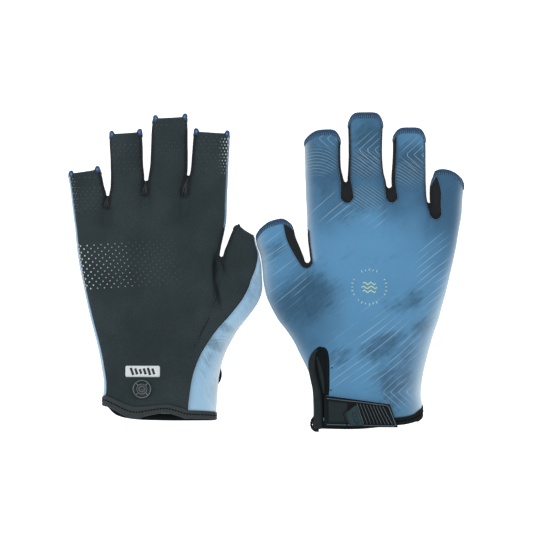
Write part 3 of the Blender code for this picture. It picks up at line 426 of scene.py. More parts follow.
        for r in range(1, rows_count + 1):
            v = r / rows_count
            mix = ease(v / fade)
            for kind, up in (("upper", True), ("lower", False)):
                first = [start[i] for i in head[kind]]
                x0, x1 = first[0][0], first[-1][0]
                if shares:
                    split = (first[shares[2]][0] - x0) / (x1 - x0)
                    share = split + (shares[0 if up else 1] - split) * ease(v / 0.45)
                row = []
                for i, point in zip(head[kind], first):
                    f = (point[0] - x0) / (x1 - x0)
                    if shares:
                        f = f * share / split if f <= split else share + (f - split) * (1 - share) / (1 - split)
                    y, ya, yb = (p[1] + (upto(kind, g) - p[1]) * v
                                 for p, g in ((point, f), (first[0], 0.0), (first[-1], 1.0)))
                    xa = along(line_a, ya) + self.inset(edge_a, up, ya)
                    xb = along(line_b, yb) - self.inset("little_b", up, yb)
                    x = xa + f * (xb - xa)
                    row.append(self.put(x, y, height(i, y, hand(x, y, up))))
                bands[kind].append(row)
            for kind, line, edge, at, way in (("a", line_a, edge_a, 0, 1), ("b", line_b, "little_b", -1, -1)):
                row = [bands["upper"][r][at]]
                for j in range(1, SIDE):
                    t, point = j / SIDE, start[head[kind][j]]
                    y = point[1] + (upto(kind, t) - point[1]) * v
                    half = (along(line_b, y) - along(line_a, y)) / 2
                    over, under = (math.acos(max(1 - self.inset(edge, up, y) / half, 0.05) ** (HAND_ROUND[up] / 2))
                                   for up in (True, False))
                    turn = (1 - t) * over - t * under
                    p = HAND_ROUND[turn > 0]
                    was = abs(point[0] - along(line, point[1]))
                    inward = (1 - mix) * was + mix * half * (1 - abs(math.cos(turn)) ** (2 / p))
                    high = ramp(HALF_THICK, y) * power(math.sin(turn), 2 / p)
                    row.append(self.put(along(line, y) + way * inward, y, height(head[kind][j], y, high)))
                bands[kind].append(row + [bands["lower"][r][at]])
        for kind, label in zip(("upper", "lower", "a", "b"), labels + ("back_panel",)):
            self.grid(bands[kind], label, turn=kind in ("lower", "a"))
        return {kind: rows[-1] for kind, rows in bands.items()}

    def web(self, left, right, label):
        """The strip across the foot of a slot. left and right are side rows, upper to lower; returns its edges."""
        columns = [left]
        for c in range(1, WEB):
            column = []
            for i, j in zip(left, right):
                x, y, z = lerp(self.points[i], self.points[j], c / WEB)
                wide = abs(self.points[j][0] - self.points[i][0])
                column.append(self.put(x, y - WEB_DEPTH * wide * math.sin(math.pi * c / WEB) ** 0.62, z))
            columns.append(column)
        columns.append(right)
        self.grid([list(row) for row in zip(*columns)], label, turn=True)
        return [column[0] for column in columns[1:-1]], [column[-1] for column in columns[1:-1]]

    def make(self):
        glove, webs, ends = self.glove, self.glove["webs"], self.glove["row_ends"]
        crotch = webs["thumb"]
        outer = {side: (ends[side], ends[side], None) for side in ("index_a", "little_b", "thumb_a")}
        feet = {"index": (outer["index_a"], webs["index"]), "middle": (webs["index"], webs["middle"]),
                "ring": (webs["middle"], webs["ring"]), "little": (webs["ring"], outer["little_b"]),
                "thumb": (outer["thumb_a"], crotch)}
        made = {name: self.digit(name, *feet[name]) for name in DIGITS + ("thumb",)}
        for name, rows in made.items():
            palm = "thumb_panel" if name == "thumb" else "palm_panel"
            for kind, panel in (("upper", self.upper), ("lower", self.lower)):
                self.grid(rows[kind], palm if panel == "palm_panel" else panel, turn=kind == "lower")
        for name, side in (("thumb", "a"), ("index", "a"), ("little", "b")):
            self.grid(made[name][side], "back_panel", turn=side == "a")
        head = {"upper": [], "lower": [], "a": made["index"]["a"][-1], "b": made["little"]["b"][-1]}
        for name, after in zip(DIGITS, DIGITS[1:] + (None,)):
            head["upper"] += made[name]["upper"][-1]
            head["lower"] += made[name]["lower"][-1]
            if after:
                label = "fourchette_%s_%s" % (name, after)
                self.grid(made[name]["b"], label)
                self.grid(made[after]["a"], label, turn=True)
                over, under = self.web(made[name]["b"][-1], made[after]["a"][-1], label)
                head["upper"] += over
                head["lower"] += under

        def to_crotch(kind, t):
            if kind == "a":
                return bowed(*crotch, t)
            return ends["hand_b"] if kind == "b" else crotch[kind == "lower"] * (1 - t) + ends["hand_b"] * t

        def gusset(r, c):
            return "thumb_gusset" if r >= KNUCKLE_ROWS * 0.45 else "back_panel"

        low = self.block(head, KNUCKLE_ROWS, "index_a", to_crotch, None, 0.75, (self.upper, self.lower, gusset))
        thumb = made["thumb"]
        self.grid(thumb["b"], "thumb_gusset")
        over, under = self.web(thumb["b"][-1], low["a"], "thumb_gusset")
        head = {"upper": thumb["upper"][-1] + over + low["upper"], "lower": thumb["lower"][-1] + under + low["lower"],
                "a": thumb["a"][-1], "b": low["b"]}
        split, reach = ACROSS + WEB, int(HAND_ROWS * 0.33)

        def to_wrist(kind, t):
            if kind in ("upper", "lower"):
                return ramp(glove["wrist_" + kind], t)
            return sum(ramp(glove[face], kind == "b") * share
                       for face, share in (("wrist_upper", 1 - t), ("wrist_lower", t)))

        def thumb_root(panel):
            if panel == "back_panel":
                return panel
            return lambda r, c: "thumb_panel" if c < split and r < reach else panel

        last = self.block(head, HAND_ROWS, "thumb_a", to_wrist, glove["thumb_share"] + (split,), 0.45,
                          (thumb_root(self.upper), thumb_root(self.lower), "back_panel"))
        self.wrist = last["upper"] + last["b"][1:-1] + last["lower"][::-1] + last["a"][1:-1][::-1]

    def wrinkle(self):
        """Lifts and creases the cloth by a fraction of a millimetre, the folds on the face that lies up."""
        edge = set(self.wrist)
        for i, (p, normal) in enumerate(zip(self.points.copy(), self.normals)):
            if i in edge or p[2] <= 0.02:
                continue
            x, y = (p[0] if self.back_up else -p[0]), p[1]
            height = 0.32 * noise.noise(Vector((p[0] * 0.055, y * 0.05, p[2] * 0.05)))
            height += 0.16 * noise.noise(Vector((p[0] * 0.13 + 9, y * 0.12, p[2] * 0.1)))
            for x0, y0, x1, y1, depth, wide in self.glove["folds"]:
                dx, dy = x1 - x0, y1 - y0
                t = ((x - x0) * dx + (y - y0) * dy) / (dx * dx + dy * dy)
                inside = min(max(t, 0), 1)
                off = math.hypot(x - x0 - dx * inside, y - y0 - dy * inside)
                over = max(-t, t - 1, 0) * math.hypot(dx, dy) / wide
                height += depth * math.exp(-(off / wide) ** 2 - over) * max(normal[2], 0) ** 0.5
            self.points[i] = p + normal * height
        self.points[:, 2] = np.maximum(self.points[:, 2], 0.0)

    def vertex_normals(self):
        total = np.zeros_like(self.points)
        for face in self.faces:
            a, b, c, d = (self.points[i] for i in face)
            total[list(face)] += np.cross(c - a, d - b)
        return total / np.maximum(np.linalg.norm(total, axis=1, keepdims=True), 1e-9)

    def ray_tree(self):
        """The skin with the wrist carried on past its hem, for laying things on it."""
        base, count = len(self.points), len(self.wrist)
        points = [Vector(p) for p in self.points] + [Vector(self.points[i]) + Vector((0, -16, 0)) for i in self.wrist]
        ends = [(i, (i + 1) % count) for i in range(count)]
        return BVHTree.FromPolygons(
            points, self.faces + [(self.wrist[i], self.wrist[j], base + j, base + i) for i, j in ends])

    def on(self, x, y, upper, lift):
        """The point lift above the skin at hand position x, y, on the upper or lower face."""
        world_x = x if self.back_up else -x
        way, hit = -1 if upper else 1, None
        for step in range(120):  # past the skin's edge, the nearest skin is carried on
            near_x = world_x + (step % 12) * (0.5 if world_x < 0 else -0.5) * (1 if abs(world_x) > 60 else -1)
            near_y = y - math.copysign(step // 12, y)
            hit, normal, _, _ = self.tree.ray_cast(Vector((near_x, near_y, -200.0 * way)), Vector((0, 0, way)))
            if hit is not None:
                break
        hit[0], hit[1] = world_x, y
        return np.array(hit + normal * (-lift if normal.z * way > 0 else lift))

    def laid(self, line, upper, lift=0.0):
        """A plan line of (x, y) as (point, normal, side) on the skin."""
        made = []
        for k, (x, y) in enumerate(line):
            base = self.on(x, y, upper, lift)
            normal = unit(self.on(x, y, upper, lift + 1.0) - base)
            a, b = line[max(k - 1, 0)], line[min(k + 1, len(line) - 1)]
            run = self.on(*b, upper, lift) - self.on(*a, upper, lift)
            made.append((base, normal, unit(np.cross(normal, run))))
        return made

    def band(self, line, upper, lift, *section):
        """A rounded band laid on the skin along a plan line: the arguments of rounded(), or a function of t for them."""
        shape = section[0] if callable(section[0]) else lambda t: section
        return swept(self.laid(line, upper, lift), lambda t: rounded(*shape(t)))

    def closure(self, line):
        """Places of the closure, moved to where it sits on this glove."""
        return [(x, y + self.glove["closure_shift"]) for x, y in line]

    def add(self, name, solid, look, flap=False, node=None, smooth=True):
        """Makes a piece of this glove or, with flap, of its strap. solid is (points, faces) or a list of those."""
        points, faces = joined(solid) if isinstance(solid, list) else solid
        slot, material = MATERIAL[look]
        name = "%s_%s" % (self.name, name)
        mesh = bpy.data.meshes.new(name)
        mesh.from_pydata([tuple(p) for p in (np.asarray(points) + SHIFT) * 0.001], [], faces)
        mesh.validate()
        mesh.materials.append(material)
        if smooth:
            mesh.shade_smooth()
        obj = bpy.data.objects.new(name, mesh)
        bpy.context.scene.collection.objects.link(obj)
        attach(obj, self.name + ("_closure" if flap else "_glove"))
        if node:
            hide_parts(*("%s_%s" % (self.name, n) for n in ([node] if isinstance(node, str) else node)))
        return obj


def cad_box(node):
    """A CAD node's lowest and highest corners in the hand frame."""
    return [np.array(corner) * 1000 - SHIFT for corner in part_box(node)]


SHIFT = np.zeros(3)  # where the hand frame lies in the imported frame: the press stud's centre settles it
SHIFT = np.mean(cad_box("back_up_snap_ring"), axis=0) * (1, 1, 0) - (*SNAP_CENTRE, 0.0)


# ---------------------------------------------------------------- node materials
class Nodes:
    """Short-hand for building one material's node tree."""

    def __init__(self, name):
        self.material = bpy.data.materials.new(name)
        self.material.use_nodes = True
        self.tree = self.material.node_tree
        self.shader = self.tree.nodes["Principled BSDF"]
        self.place = self.tree.nodes.new("ShaderNodeTexCoord").outputs["Object"]

    def put(self, socket, value):
        if isinstance(value, bpy.types.NodeSocket):
            self.tree.links.new(value, socket)
        else:
            socket.default_value = (*value, 1) if socket.type == "RGBA" else value

    def node(self, kind, inputs, **settings):
        """A node's outputs. inputs gives its sockets' values or links, by name or number."""
        node = self.tree.nodes.new("ShaderNode" + kind)
        for key, value in settings.items():
            setattr(node, key, value)
        for key, value in inputs.items():
            self.put(node.inputs[key], value)
        return node.outputs

    def math(self, kind, *values):
        return self.node("Math", dict(enumerate(values)), operation=kind)[0]

    def plus(self, a, b):
        return self.math("ADD", a, b)

    def times(self, a, b):
        return self.math("MULTIPLY", a, b)

    def range(self, value, low, high, to_low=0.0, to_high=1.0):
        inputs = dict(enumerate((value, low, high, to_low, to_high)))
        return self.node("MapRange", inputs, interpolation_type="SMOOTHSTEP")[0]

    def moved(self, **mapping):
        return self.node("Mapping", {"Vector": self.place, **mapping})[0]

    def noise(self, scale, detail=2.0, rough=0.5, vector=None):
        return self.node("TexNoise", {"Vector": vector or self.place, "Scale": scale, "Detail": detail,
                                      "Roughness": rough})[0]

    def mix(self, share, a, b):
        return self.node("Mix", {0: share, 6: a, 7: b}, data_type="RGBA")[2]

    def joined(self, x, y):
        return self.node("CombineXYZ", {0: x, 1: y})[0]

    def attribute(self, name):
        return self.node("Attribute", {}, attribute_name="print_" + name)["Fac"]

    def bump(self, *layers):
        """Reliefs over one another, each (height, strength, distance in metres)."""
        below = {}
        for height, strength, distance in layers:
            inputs = {"Strength": strength, "Distance": distance, "Height": height, **below}
            below = {"Normal": self.node("Bump", inputs)[0]}
        self.put(self.shader.inputs["Normal"], below["Normal"])

    def knit(self, pitch, lean=0.0):
        """The height of fine V-shaped stitches, pitch metres apart."""
        x, y, _ = self.node("SeparateXYZ", {0: self.moved(Rotation=(0, 0, lean))})
        wave = self.math("SINE", self.times(x, 2 * math.pi / pitch))
        zigzag = self.math("PINGPONG", self.math("DIVIDE", x, pitch), 0.5)
        rows = self.math("SINE", self.times(self.plus(self.math("DIVIDE", y, pitch), zigzag), 2 * math.pi))
        return self.plus(self.times(wave, 0.5), self.times(rows, 0.5))

    def finish(self, color, rough, sheen=0.0, sheen_tint=(1, 1, 1), sheen_rough=0.4, specular=0.5, coat=0.0):
        for name, value in (("Base Color", color), ("Roughness", rough), ("Sheen Weight", sheen),
                            ("Sheen Tint", sheen_tint), ("Sheen Roughness", sheen_rough),
                            ("Specular IOR Level", specular), ("Coat Weight", coat)):
            self.put(self.shader.inputs[name], value)
        return self.material


LIGHT_LEVEL = 1.32  # how brightly a surface facing up is lit, as a multiple of its own colour


def rgb(r, g, b):
    """Linear colour that reads as these 0-255 screen values under the studio light."""
    return tuple(((c / 255 + 0.055) / 1.055) ** 2.4 / LIGHT_LEVEL for c in (r, g, b))


def back_cloth(name, dark, light, pale, line_share, smoke_share):
    """Sublimation-printed stretch knit. Its own attributes say where the print gets dark or lined, and where painted
    rim light pales it.
    """
    n = Nodes(name)
    plus, times, get = n.plus, n.times, n.attribute

    def centred(value, share):
        return times(n.math("SUBTRACT", value, 0.5), share)

    tone = plus(get("tone"), centred(n.noise(34, 3.0, 0.55), 0.7))
    color = n.mix(n.range(tone, 0.0, 1.0), rgb(*dark), rgb(*light))
    run = get("run")
    streak = n.noise(1.0, 3.0, 0.65, n.joined(times(run, 0.09), times(get("rain"), 0.42)))
    ragged = plus(centred(n.noise(62, 4.0, 0.62), 1.3), centred(streak, 1.3))
    smoke = n.range(plus(get("smoke"), ragged), 0.12, 0.95)
    color = n.mix(times(smoke, smoke_share), color, rgb(44, 82, 108))

    def hairlines(kind, spacing, width, broken):
        """Fine lines spacing millimetres apart, each broken into pieces of its own."""
        step = n.math("DIVIDE", get(kind), spacing)
        line = n.range(n.math("PINGPONG", step, 0.5), width * 0.25 / spacing, width / spacing, 1.0, 0.0)
        pieces = n.noise(1.0, 1.0, 0.5, n.joined(times(run, 0.028), times(n.math("ROUND", step), 3.7)))
        return times(line, times(get(kind + "_on"), n.range(pieces, broken, broken + 0.10)))

    lines = n.math("MAXIMUM", hairlines("rain", 4.0, 0.30, 0.44), hairlines("chevron", 5.2, 0.34, 0.20))
    level, wave_on = n.math("DIVIDE", get("wave"), 2.15), get("wave_on")
    shade = n.math("POWER", n.math("FRACT", level), 1.6)
    color = n.mix(times(times(shade, wave_on), 0.66), color, rgb(42, 80, 106))
    crest = n.range(n.math("PINGPONG", level, 0.5), 0.03, 0.16, 1.0, 0.0)
    lines = n.math("MAXIMUM", lines, times(times(crest, wave_on), 0.65))
    color = n.mix(times(lines, line_share), color, rgb(186, 214, 231))
    # painted rim light: the cloth turns pale where it rolls away at the sides of the hand
    color = n.mix(get("pale"), color, rgb(*pale))
    grain = n.noise(2300, 2.0, 0.6)
    color = n.mix(n.range(grain, 0.25, 0.85, 0.0, 0.16), color, rgb(40, 78, 104))
    n.bump((n.knit(0.00052), 0.30, 0.00010), (n.noise(160, 3.0, 0.55), 0.15, 0.0005))
    return n.finish(color, n.range(grain, 0.2, 0.8, 0.66, 0.82), sheen=0.10, sheen_tint=rgb(205, 228, 245),
                    sheen_rough=0.35, specular=0.22)


def suede(name):
    n = Nodes(name)
    nap = n.noise(900, 4.0, 0.7)
    color = n.mix(n.range(n.noise(38, 2.0, 0.5), 0.3, 0.7), rgb(42, 53, 56), rgb(52, 63, 66))
    color = n.mix(n.range(nap, 0.3, 0.75, 0.0, 0.55), color, rgb(30, 39, 42))
    # painted shade where the sharpest folds keep the light out
    color = n.mix(n.attribute("pleat"), color, rgb(14, 19, 22))
    n.bump((nap, 0.55, 0.00016), (n.noise(120, 3.0, 0.5), 0.25, 0.0007))
    return n.finish(color, 0.86, sheen=0.05, sheen_tint=rgb(150, 175, 190), sheen_rough=0.5, specular=0.15)


def plain_cloth(name, dark, light, pitch, lean=0.0, rough=0.8, sheen=0.04, bump=0.6, specular=0.25):
    n = Nodes(name)
    height = n.knit(pitch, lean)
    color = n.mix(n.range(height, -1.0, 1.0), rgb(*dark), rgb(*light))
    color = n.mix(n.range(n.noise(300, 2.0, 0.6), 0.3, 0.8, 0.0, 0.4), color, rgb(*dark))
    n.bump((height, bump, pitch * 0.3), (n.noise(260, 2.0, 0.5), 0.2, 0.0004))
    return n.finish(color, rough, sheen=sheen, sheen_tint=(0.6, 0.68, 0.75), specular=specular)


def thread(name, dark, light, rough=0.7):
    n = Nodes(name)
    fibre = n.noise(3200, 2.0, 0.6, n.moved(Scale=(1, 1, 0.3)))
    n.bump((fibre, 0.4, 0.00008))
    return n.finish(n.mix(n.range(fibre, 0.3, 0.7), rgb(*dark), rgb(*light)), rough, sheen=0.2, specular=0.3)


def moulding(name, dark, light, rough, grain=0.25, coat=0.0, specular=0.25):
    n = Nodes(name)
    scuff = n.noise(70, 3.0, 0.6)
    color = n.mix(n.range(scuff, 0.35, 0.75), rgb(*dark), rgb(*light))
    n.bump((n.noise(1500, 3.0, 0.6), grain, 0.00005))
    return n.finish(color, n.range(scuff, 0.3, 0.7, rough, rough + 0.12), specular=specular, coat=coat)


LOOKS = {  # by slot, each look with its recipe
    "back_cloth": {
        # the third colour of each printed knit is the painted rim light at the sides of the hand
        "back_face": (back_cloth, "Printed back knit", (56, 96, 128), (92, 150, 192), (212, 231, 243), 0.50, 0.74),
        # a paler copy of the same printed knit for the palm-up glove, whose back shows only where it wraps round the
        # sides: painted rim light
        "back_side_rim_lit": (back_cloth, "Printed back knit, side", (100, 140, 176), (162, 202, 231), (234, 245, 252), 0.85,
                      0.5),
        "print": (thread, "Emblem print", (170, 208, 182), (212, 230, 172), 0.6)},
    "palm_suede": {
        "suede": (suede, "Palm suede"),
        # one silicone in three brightnesses: the brighter grades paint the highlight the dots catch where the cloth
        # rolls round the side
        "dot": (moulding, "Grip dots", (176, 188, 190), (210, 218, 220), 0.35, 0.05),
        "dot_mid": (moulding, "Grip dots, middle", (138, 152, 154), (168, 180, 182), 0.38, 0.05),
        "dot_faint": (moulding, "Grip dots, faint", (74, 89, 91), (100, 114, 116), 0.4, 0.05)},
    "black_knit": {
        "knit": (plain_cloth, "Side strip knit", (17, 20, 24), (33, 38, 42), 0.0007, 0.3),
        # a lighter copy of the same side strip knit: painted light that the side strips catch on the palm-up glove
        "knit_palm": (plain_cloth, "Side strip knit, palm-up", (24, 29, 33), (42, 48, 52), 0.0007, 0.3),
        "insert": (plain_cloth, "Slit insert knit", (9, 17, 20), (20, 30, 34), 0.0007, 0.3, 0.8, 0.04, 0.6, 0.1)},
    "black_tape": {
        "tape": (plain_cloth, "Wrist tape", (11, 17, 19), (27, 35, 38), 0.0005, 0.78, 0.76, 0.04, 0.5, 0.12),
        "fold": (plain_cloth, "Rolled fold knit", (16, 25, 29), (36, 46, 50), 0.0005, 0.78, 0.74, 0.04, 0.5, 0.2),
        "tape_palm": (plain_cloth, "Wrist tape, palm side", (42, 50, 54), (62, 69, 73), 0.0005, 0.78, 0.72),
        "thread_black": (plain_cloth, "Black thread", (2, 3, 4), (8, 10, 12), 0.0004, 0.0, 0.95, 0.0, 0.6, 0.05),
        "thread_dark": (thread, "Dark thread", (12, 16, 18), (30, 36, 40))},
    "edging_thread": {
        "edging": (plain_cloth, "Edging thread", (30, 58, 90), (58, 96, 130), 0.0009, 0.1, 0.7, 0.15),
        "edging_light": (plain_cloth, "Edging thread, palm-up", (30, 52, 92), (82, 112, 152), 0.0009, 0.1),
        "thread_pale": (thread, "Pale thread", (150, 182, 204), (205, 224, 236)),
        "thread_blue": (thread, "Blue thread", (66, 102, 134), (112, 150, 180))},
    "moulded_rubber": {
        "rubber": (moulding, "Strap moulding", (9, 15, 18), (16, 24, 28), 0.66, 0.25, 0.0, 0.12),
        "rubber_field": (moulding, "Strap field", (24, 36, 40), (33, 46, 51), 0.68, 0.4, 0.0, 0.18),
        # the tab's light border, and also the painted highlight along the thin ridges between the ribs
        "rubber_border_and_ridge_highlight": (moulding, "Strap border", (72, 87, 94), (96, 111, 118), 0.5)},
    "badge_rubber": {"badge": (moulding, "Strap badge", (32, 53, 58), (48, 71, 78), 0.55, 0.25, 0.0, 0.15)},
    "snap_plastic": {
        "snap": (moulding, "Press stud", (34, 42, 45), (48, 57, 60), 0.32, 0.12, 0.1),
        # a lighter copy of the stud's plastic: painted highlight on its raised rims
        "snap_light": (moulding, "Press stud, raised", (104, 116, 119), (140, 152, 156), 0.3, 0.1, 0.2)},
    "label_cloth": {
        "label": (plain_cloth, "Label", (206, 214, 217), (232, 238, 240), 0.0004, 0.78, 0.6, 0.04, 0.3),
        "label_ink": (plain_cloth, "Label ink", (28, 36, 39), (40, 49, 52), 0.0004, 0.78, 0.6, 0.04, 0.3)},
    "hook_tape": {"hook": (plain_cloth, "Hook tape", (16, 18, 20), (44, 48, 52), 0.0012, 0.0, 0.55, 0.04, 1.0)},
    "loop_tape": {"loop": (plain_cloth, "Loop tape", (12, 14, 16), (36, 40, 44), 0.0009, 0.0, 0.9, 0.04, 1.0)},
}
MATERIAL = {look: (slot, recipe(*values)) for slot, looks in LOOKS.items() for look, (recipe, *values) in looks.items()}


# ---------------------------------------------------------------- mesh helpers, hand-frame millimetres
def outward(points, faces):
    """The faces, all turned round if they face into the solid."""
    points = np.asarray(points)
    volume = 0.0
    for face in faces:
        for i in range(1, len(face) - 1):
            volume += np.dot(points[face[0]], np.cross(points[face[i]], points[face[i + 1]]))
    return faces if volume > 0 else [tuple(face[::-1]) for face in faces]


def joined(parts):
    """One list of points and faces from several (points, faces) pairs."""
    points, faces = [], []
    for some, those in parts:
        base = len(points)
        points += [tuple(p) for p in some]
        faces += [tuple(i + base for i in face) for face in those]
    return points, faces


def stacked(rings, foot=None, tip=None, closed=False):
    """A solid of rings of points, each joined to the next. Its ends are flat, or run to the points foot and tip."""
    around = len(rings[0])
    points = [p for ring in rings for p in ring]
    faces = []
    for i in range(len(rings) if closed else len(rings) - 1):
        a, b = i * around, (i + 1) % len(rings) * around
        faces += [(a + k, a + (k + 1) % around, b + (k + 1) % around, b + k) for k in range(around)]
    last = len(points) - around
    for ring, end in () if closed else ((range(around)[::-1], foot), (range(last, last + around), tip)):
        if end is None:
            faces.append(tuple(ring))
        else:
            faces += [(ring[k], ring[(k + 1) % around], len(points)) for k in range(around)]
            points.append(end)
    return points, outward(points, faces)


def capsule(start, stop, radius, up, segments=6):
    """A short stitch between two points."""
    start, stop, up = (np.asarray(v, float) for v in (start, stop, up))
    run = unit(stop - start)
    side = unit(np.cross(run, up))
    lift = np.cross(side, run)
    spokes = [side * math.cos(turn) + lift * math.sin(turn) for turn in turns(segments)]
    rings = [[centre + spoke * radius * share for spoke in spokes]
             for centre, share in ((start, 0.75), ((start + stop) / 2, 1.0), (stop, 0.75))]
    return stacked(rings, start - run * radius * 0.8, stop + run * radius * 0.8)


def stitches(line, length, gap, radius, inward, lift, slant=0.0, pitch=0.25):
    """Capsules along a line of (point, normal, side), placed to the nearest pitch."""
    parts, fine, i = [], resampled(line, pitch), 0.0
    while i + length / pitch < len(fine):
        a, b = fine[int(i)], fine[int(i + length / pitch)]
        start = a[0] + a[2] * (inward + slant) + a[1] * lift
        stop = b[0] + b[2] * (inward - slant) + b[1] * lift
        parts.append(capsule(start, stop, radius, a[1]))
        i += (length + gap) / pitch
    return parts


def swept(line, section, closed=False):
    """A solid swept along line, which holds (point, normal, side). section(t) lists (side, height) pairs."""
    last = len(line) - 1
    return stacked([[p + side * s + normal * h for s, h in section(k / last)]
                    for k, (p, normal, side) in enumerate(line)], closed=closed)


def rounded(width, low, high, steps=5):
    """Section of a band: width across, from low to high, with a rounded top."""
    top = [(width / 2 * power(math.cos(turn), 0.6), low + (high - low) * (0.35 + 0.65 * math.sin(turn) ** 0.6))
           for turn in (math.pi * (1 - k / steps) for k in range(steps + 1))]
    return [(-width / 2, low), *top, (width / 2, low)]


def slab(skin, rows, upper, lift, thick, edge=0.25):
    """A plate laid on the skin with a softened top edge. rows holds rows of (x, y), all one length."""
    high, wide = len(rows), len(rows[0])
    base, top = [], []
    for r, row in enumerate(rows):
        for c, (x, y) in enumerate(row):
            on_rim = r in (0, high - 1) or c in (0, wide - 1)
            base.append(skin.on(x, y, upper, lift))
            top.append(skin.on(x, y, upper, lift + thick - (edge if on_rim else 0)))
    n, faces = len(base), []
    for i in range(n - wide):
        if (i + 1) % wide:
            faces += [(i, i + 1, i + wide + 1, i + wide), (n + i, n + i + wide, n + i + wide + 1, n + i + 1)]
    rim = [*range(wide), *range(2 * wide - 1, n, wide), *range(n - 2, n - wide - 1, -1),
           *range(n - 2 * wide, 0, -wide)]
    faces += [(j, i, n + i, n + j) for i, j in zip(rim, rim[1:] + rim[:1])]
    return base + top, outward(base + top, faces)


def between(left, right, columns):
    """Rows of (x, y) across the space between two lines."""
    return [[lerp(a, b, c / columns) for c in range(columns + 1)] for a, b in zip(left, right)]


def lathe(centre, way, profile, segments=48):
    """A turned solid standing on centre. profile lists (radius, height) from its foot."""
    x, y, z = centre
    return stacked([[(x + radius * math.cos(turn), y + radius * math.sin(turn), z + way * height)
                     for turn in turns(segments)] for radius, height in profile])


def edges_of(faces):
    """{(low, high): [(a, b, n), ...]}: the numbers n of the faces on each edge, and which way each runs along it."""
    uses = {}
    for n, face in enumerate(faces):
        for a, b in zip(face, face[1:] + face[:1]):
            uses.setdefault((min(a, b), max(a, b)), []).append((a, b, n))
    return uses


SUEDES = {"palm_panel", "thumb_panel"}


def flush_points(skin, wanted):
    """Points where a suede panel meets nothing but suede."""
    touching = {}
    for face, name in zip(skin.faces, skin.labels):
        for i in face:
            touching.setdefault(i, set()).add(name)
    return {i for i, names in touching.items() if {wanted} < names <= SUEDES}


def panel_mesh(skin, wanted):
    """Outer faces, an inner copy and the cut edge of one sewn panel, with its seam edge drawn down."""
    faces = [face for face, name in zip(skin.faces, skin.labels) if name == wanted]
    rim = [uses[0] for uses in edges_of(faces).values() if len(uses) == 1]
    used = sorted({i for face in faces for i in face})
    number = {i: n for n, i in enumerate(used)}
    n, outer, flush = len(used), skin.points[used].copy(), flush_points(skin, wanted)
    for i in {i for a, b, _ in rim for i in (a, b)}:
        outer[number[i]] -= skin.normals[i] * (FLUSH if i in flush else GROOVE)
    inner = skin.points[used] - skin.normals[used] * CLOTH
    solid = [tuple(number[i] for i in face) for face in faces]
    solid += [tuple(i + n for i in face[::-1]) for face in solid]
    solid += [(number[b], number[a], number[a] + n, number[b] + n) for a, b, _ in rim]
    points = np.vstack([outer, inner])
    return points, outward(points, solid)


def chains(pairs):
    """Ordered lines of point numbers from loose (a, b) edges."""
    near = {}
    for a, b in pairs:
        near.setdefault(a, []).append(b)
        near.setdefault(b, []).append(a)
    lines, seen = [], set()
    for start in sorted(near, key=lambda i: (len(near[i]) != 1, i)):
        line, ahead = [], [start]
        while ahead := [i for i in ahead if i not in seen]:
            line.append(ahead[0])
            seen.add(ahead[0])
            ahead = near[ahead[0]]
        if len(line) > 1:
            lines.append(line)
    return lines


def seam(skin, first, second):
    """Lines of (point, normal, direction into first) along the seam between two sets of panels."""
    pairs, into = [], {}
    for (a, b), uses in edges_of(skin.faces).items():
        for (_, _, n), (_, _, m) in (uses, uses[::-1]) if len(uses) == 2 else ():
            if skin.labels[n] in first and skin.labels[m] in second:
                pairs.append((a, b))
                way = unit(skin.points[list(skin.faces[n])].mean(axis=0) - (skin.points[a] + skin.points[b]) / 2)
                for i in (a, b):
                    into[i] = into.get(i, 0) + way
    return [[(skin.points[i], skin.normals[i], unit(into[i])) for i in line] for line in chains(pairs)]


# ---------------------------------------------------------------- what the cloth's materials read at each point
def fold_shade_spots(skin, x, y):
    """Where the sharpest folds keep the light out of the suede."""
    return {"pleat": max([0.0] + [patch(spot, x, y, 1.6, spot[5]) for spot in skin.glove["fold_shade_spots"]])}


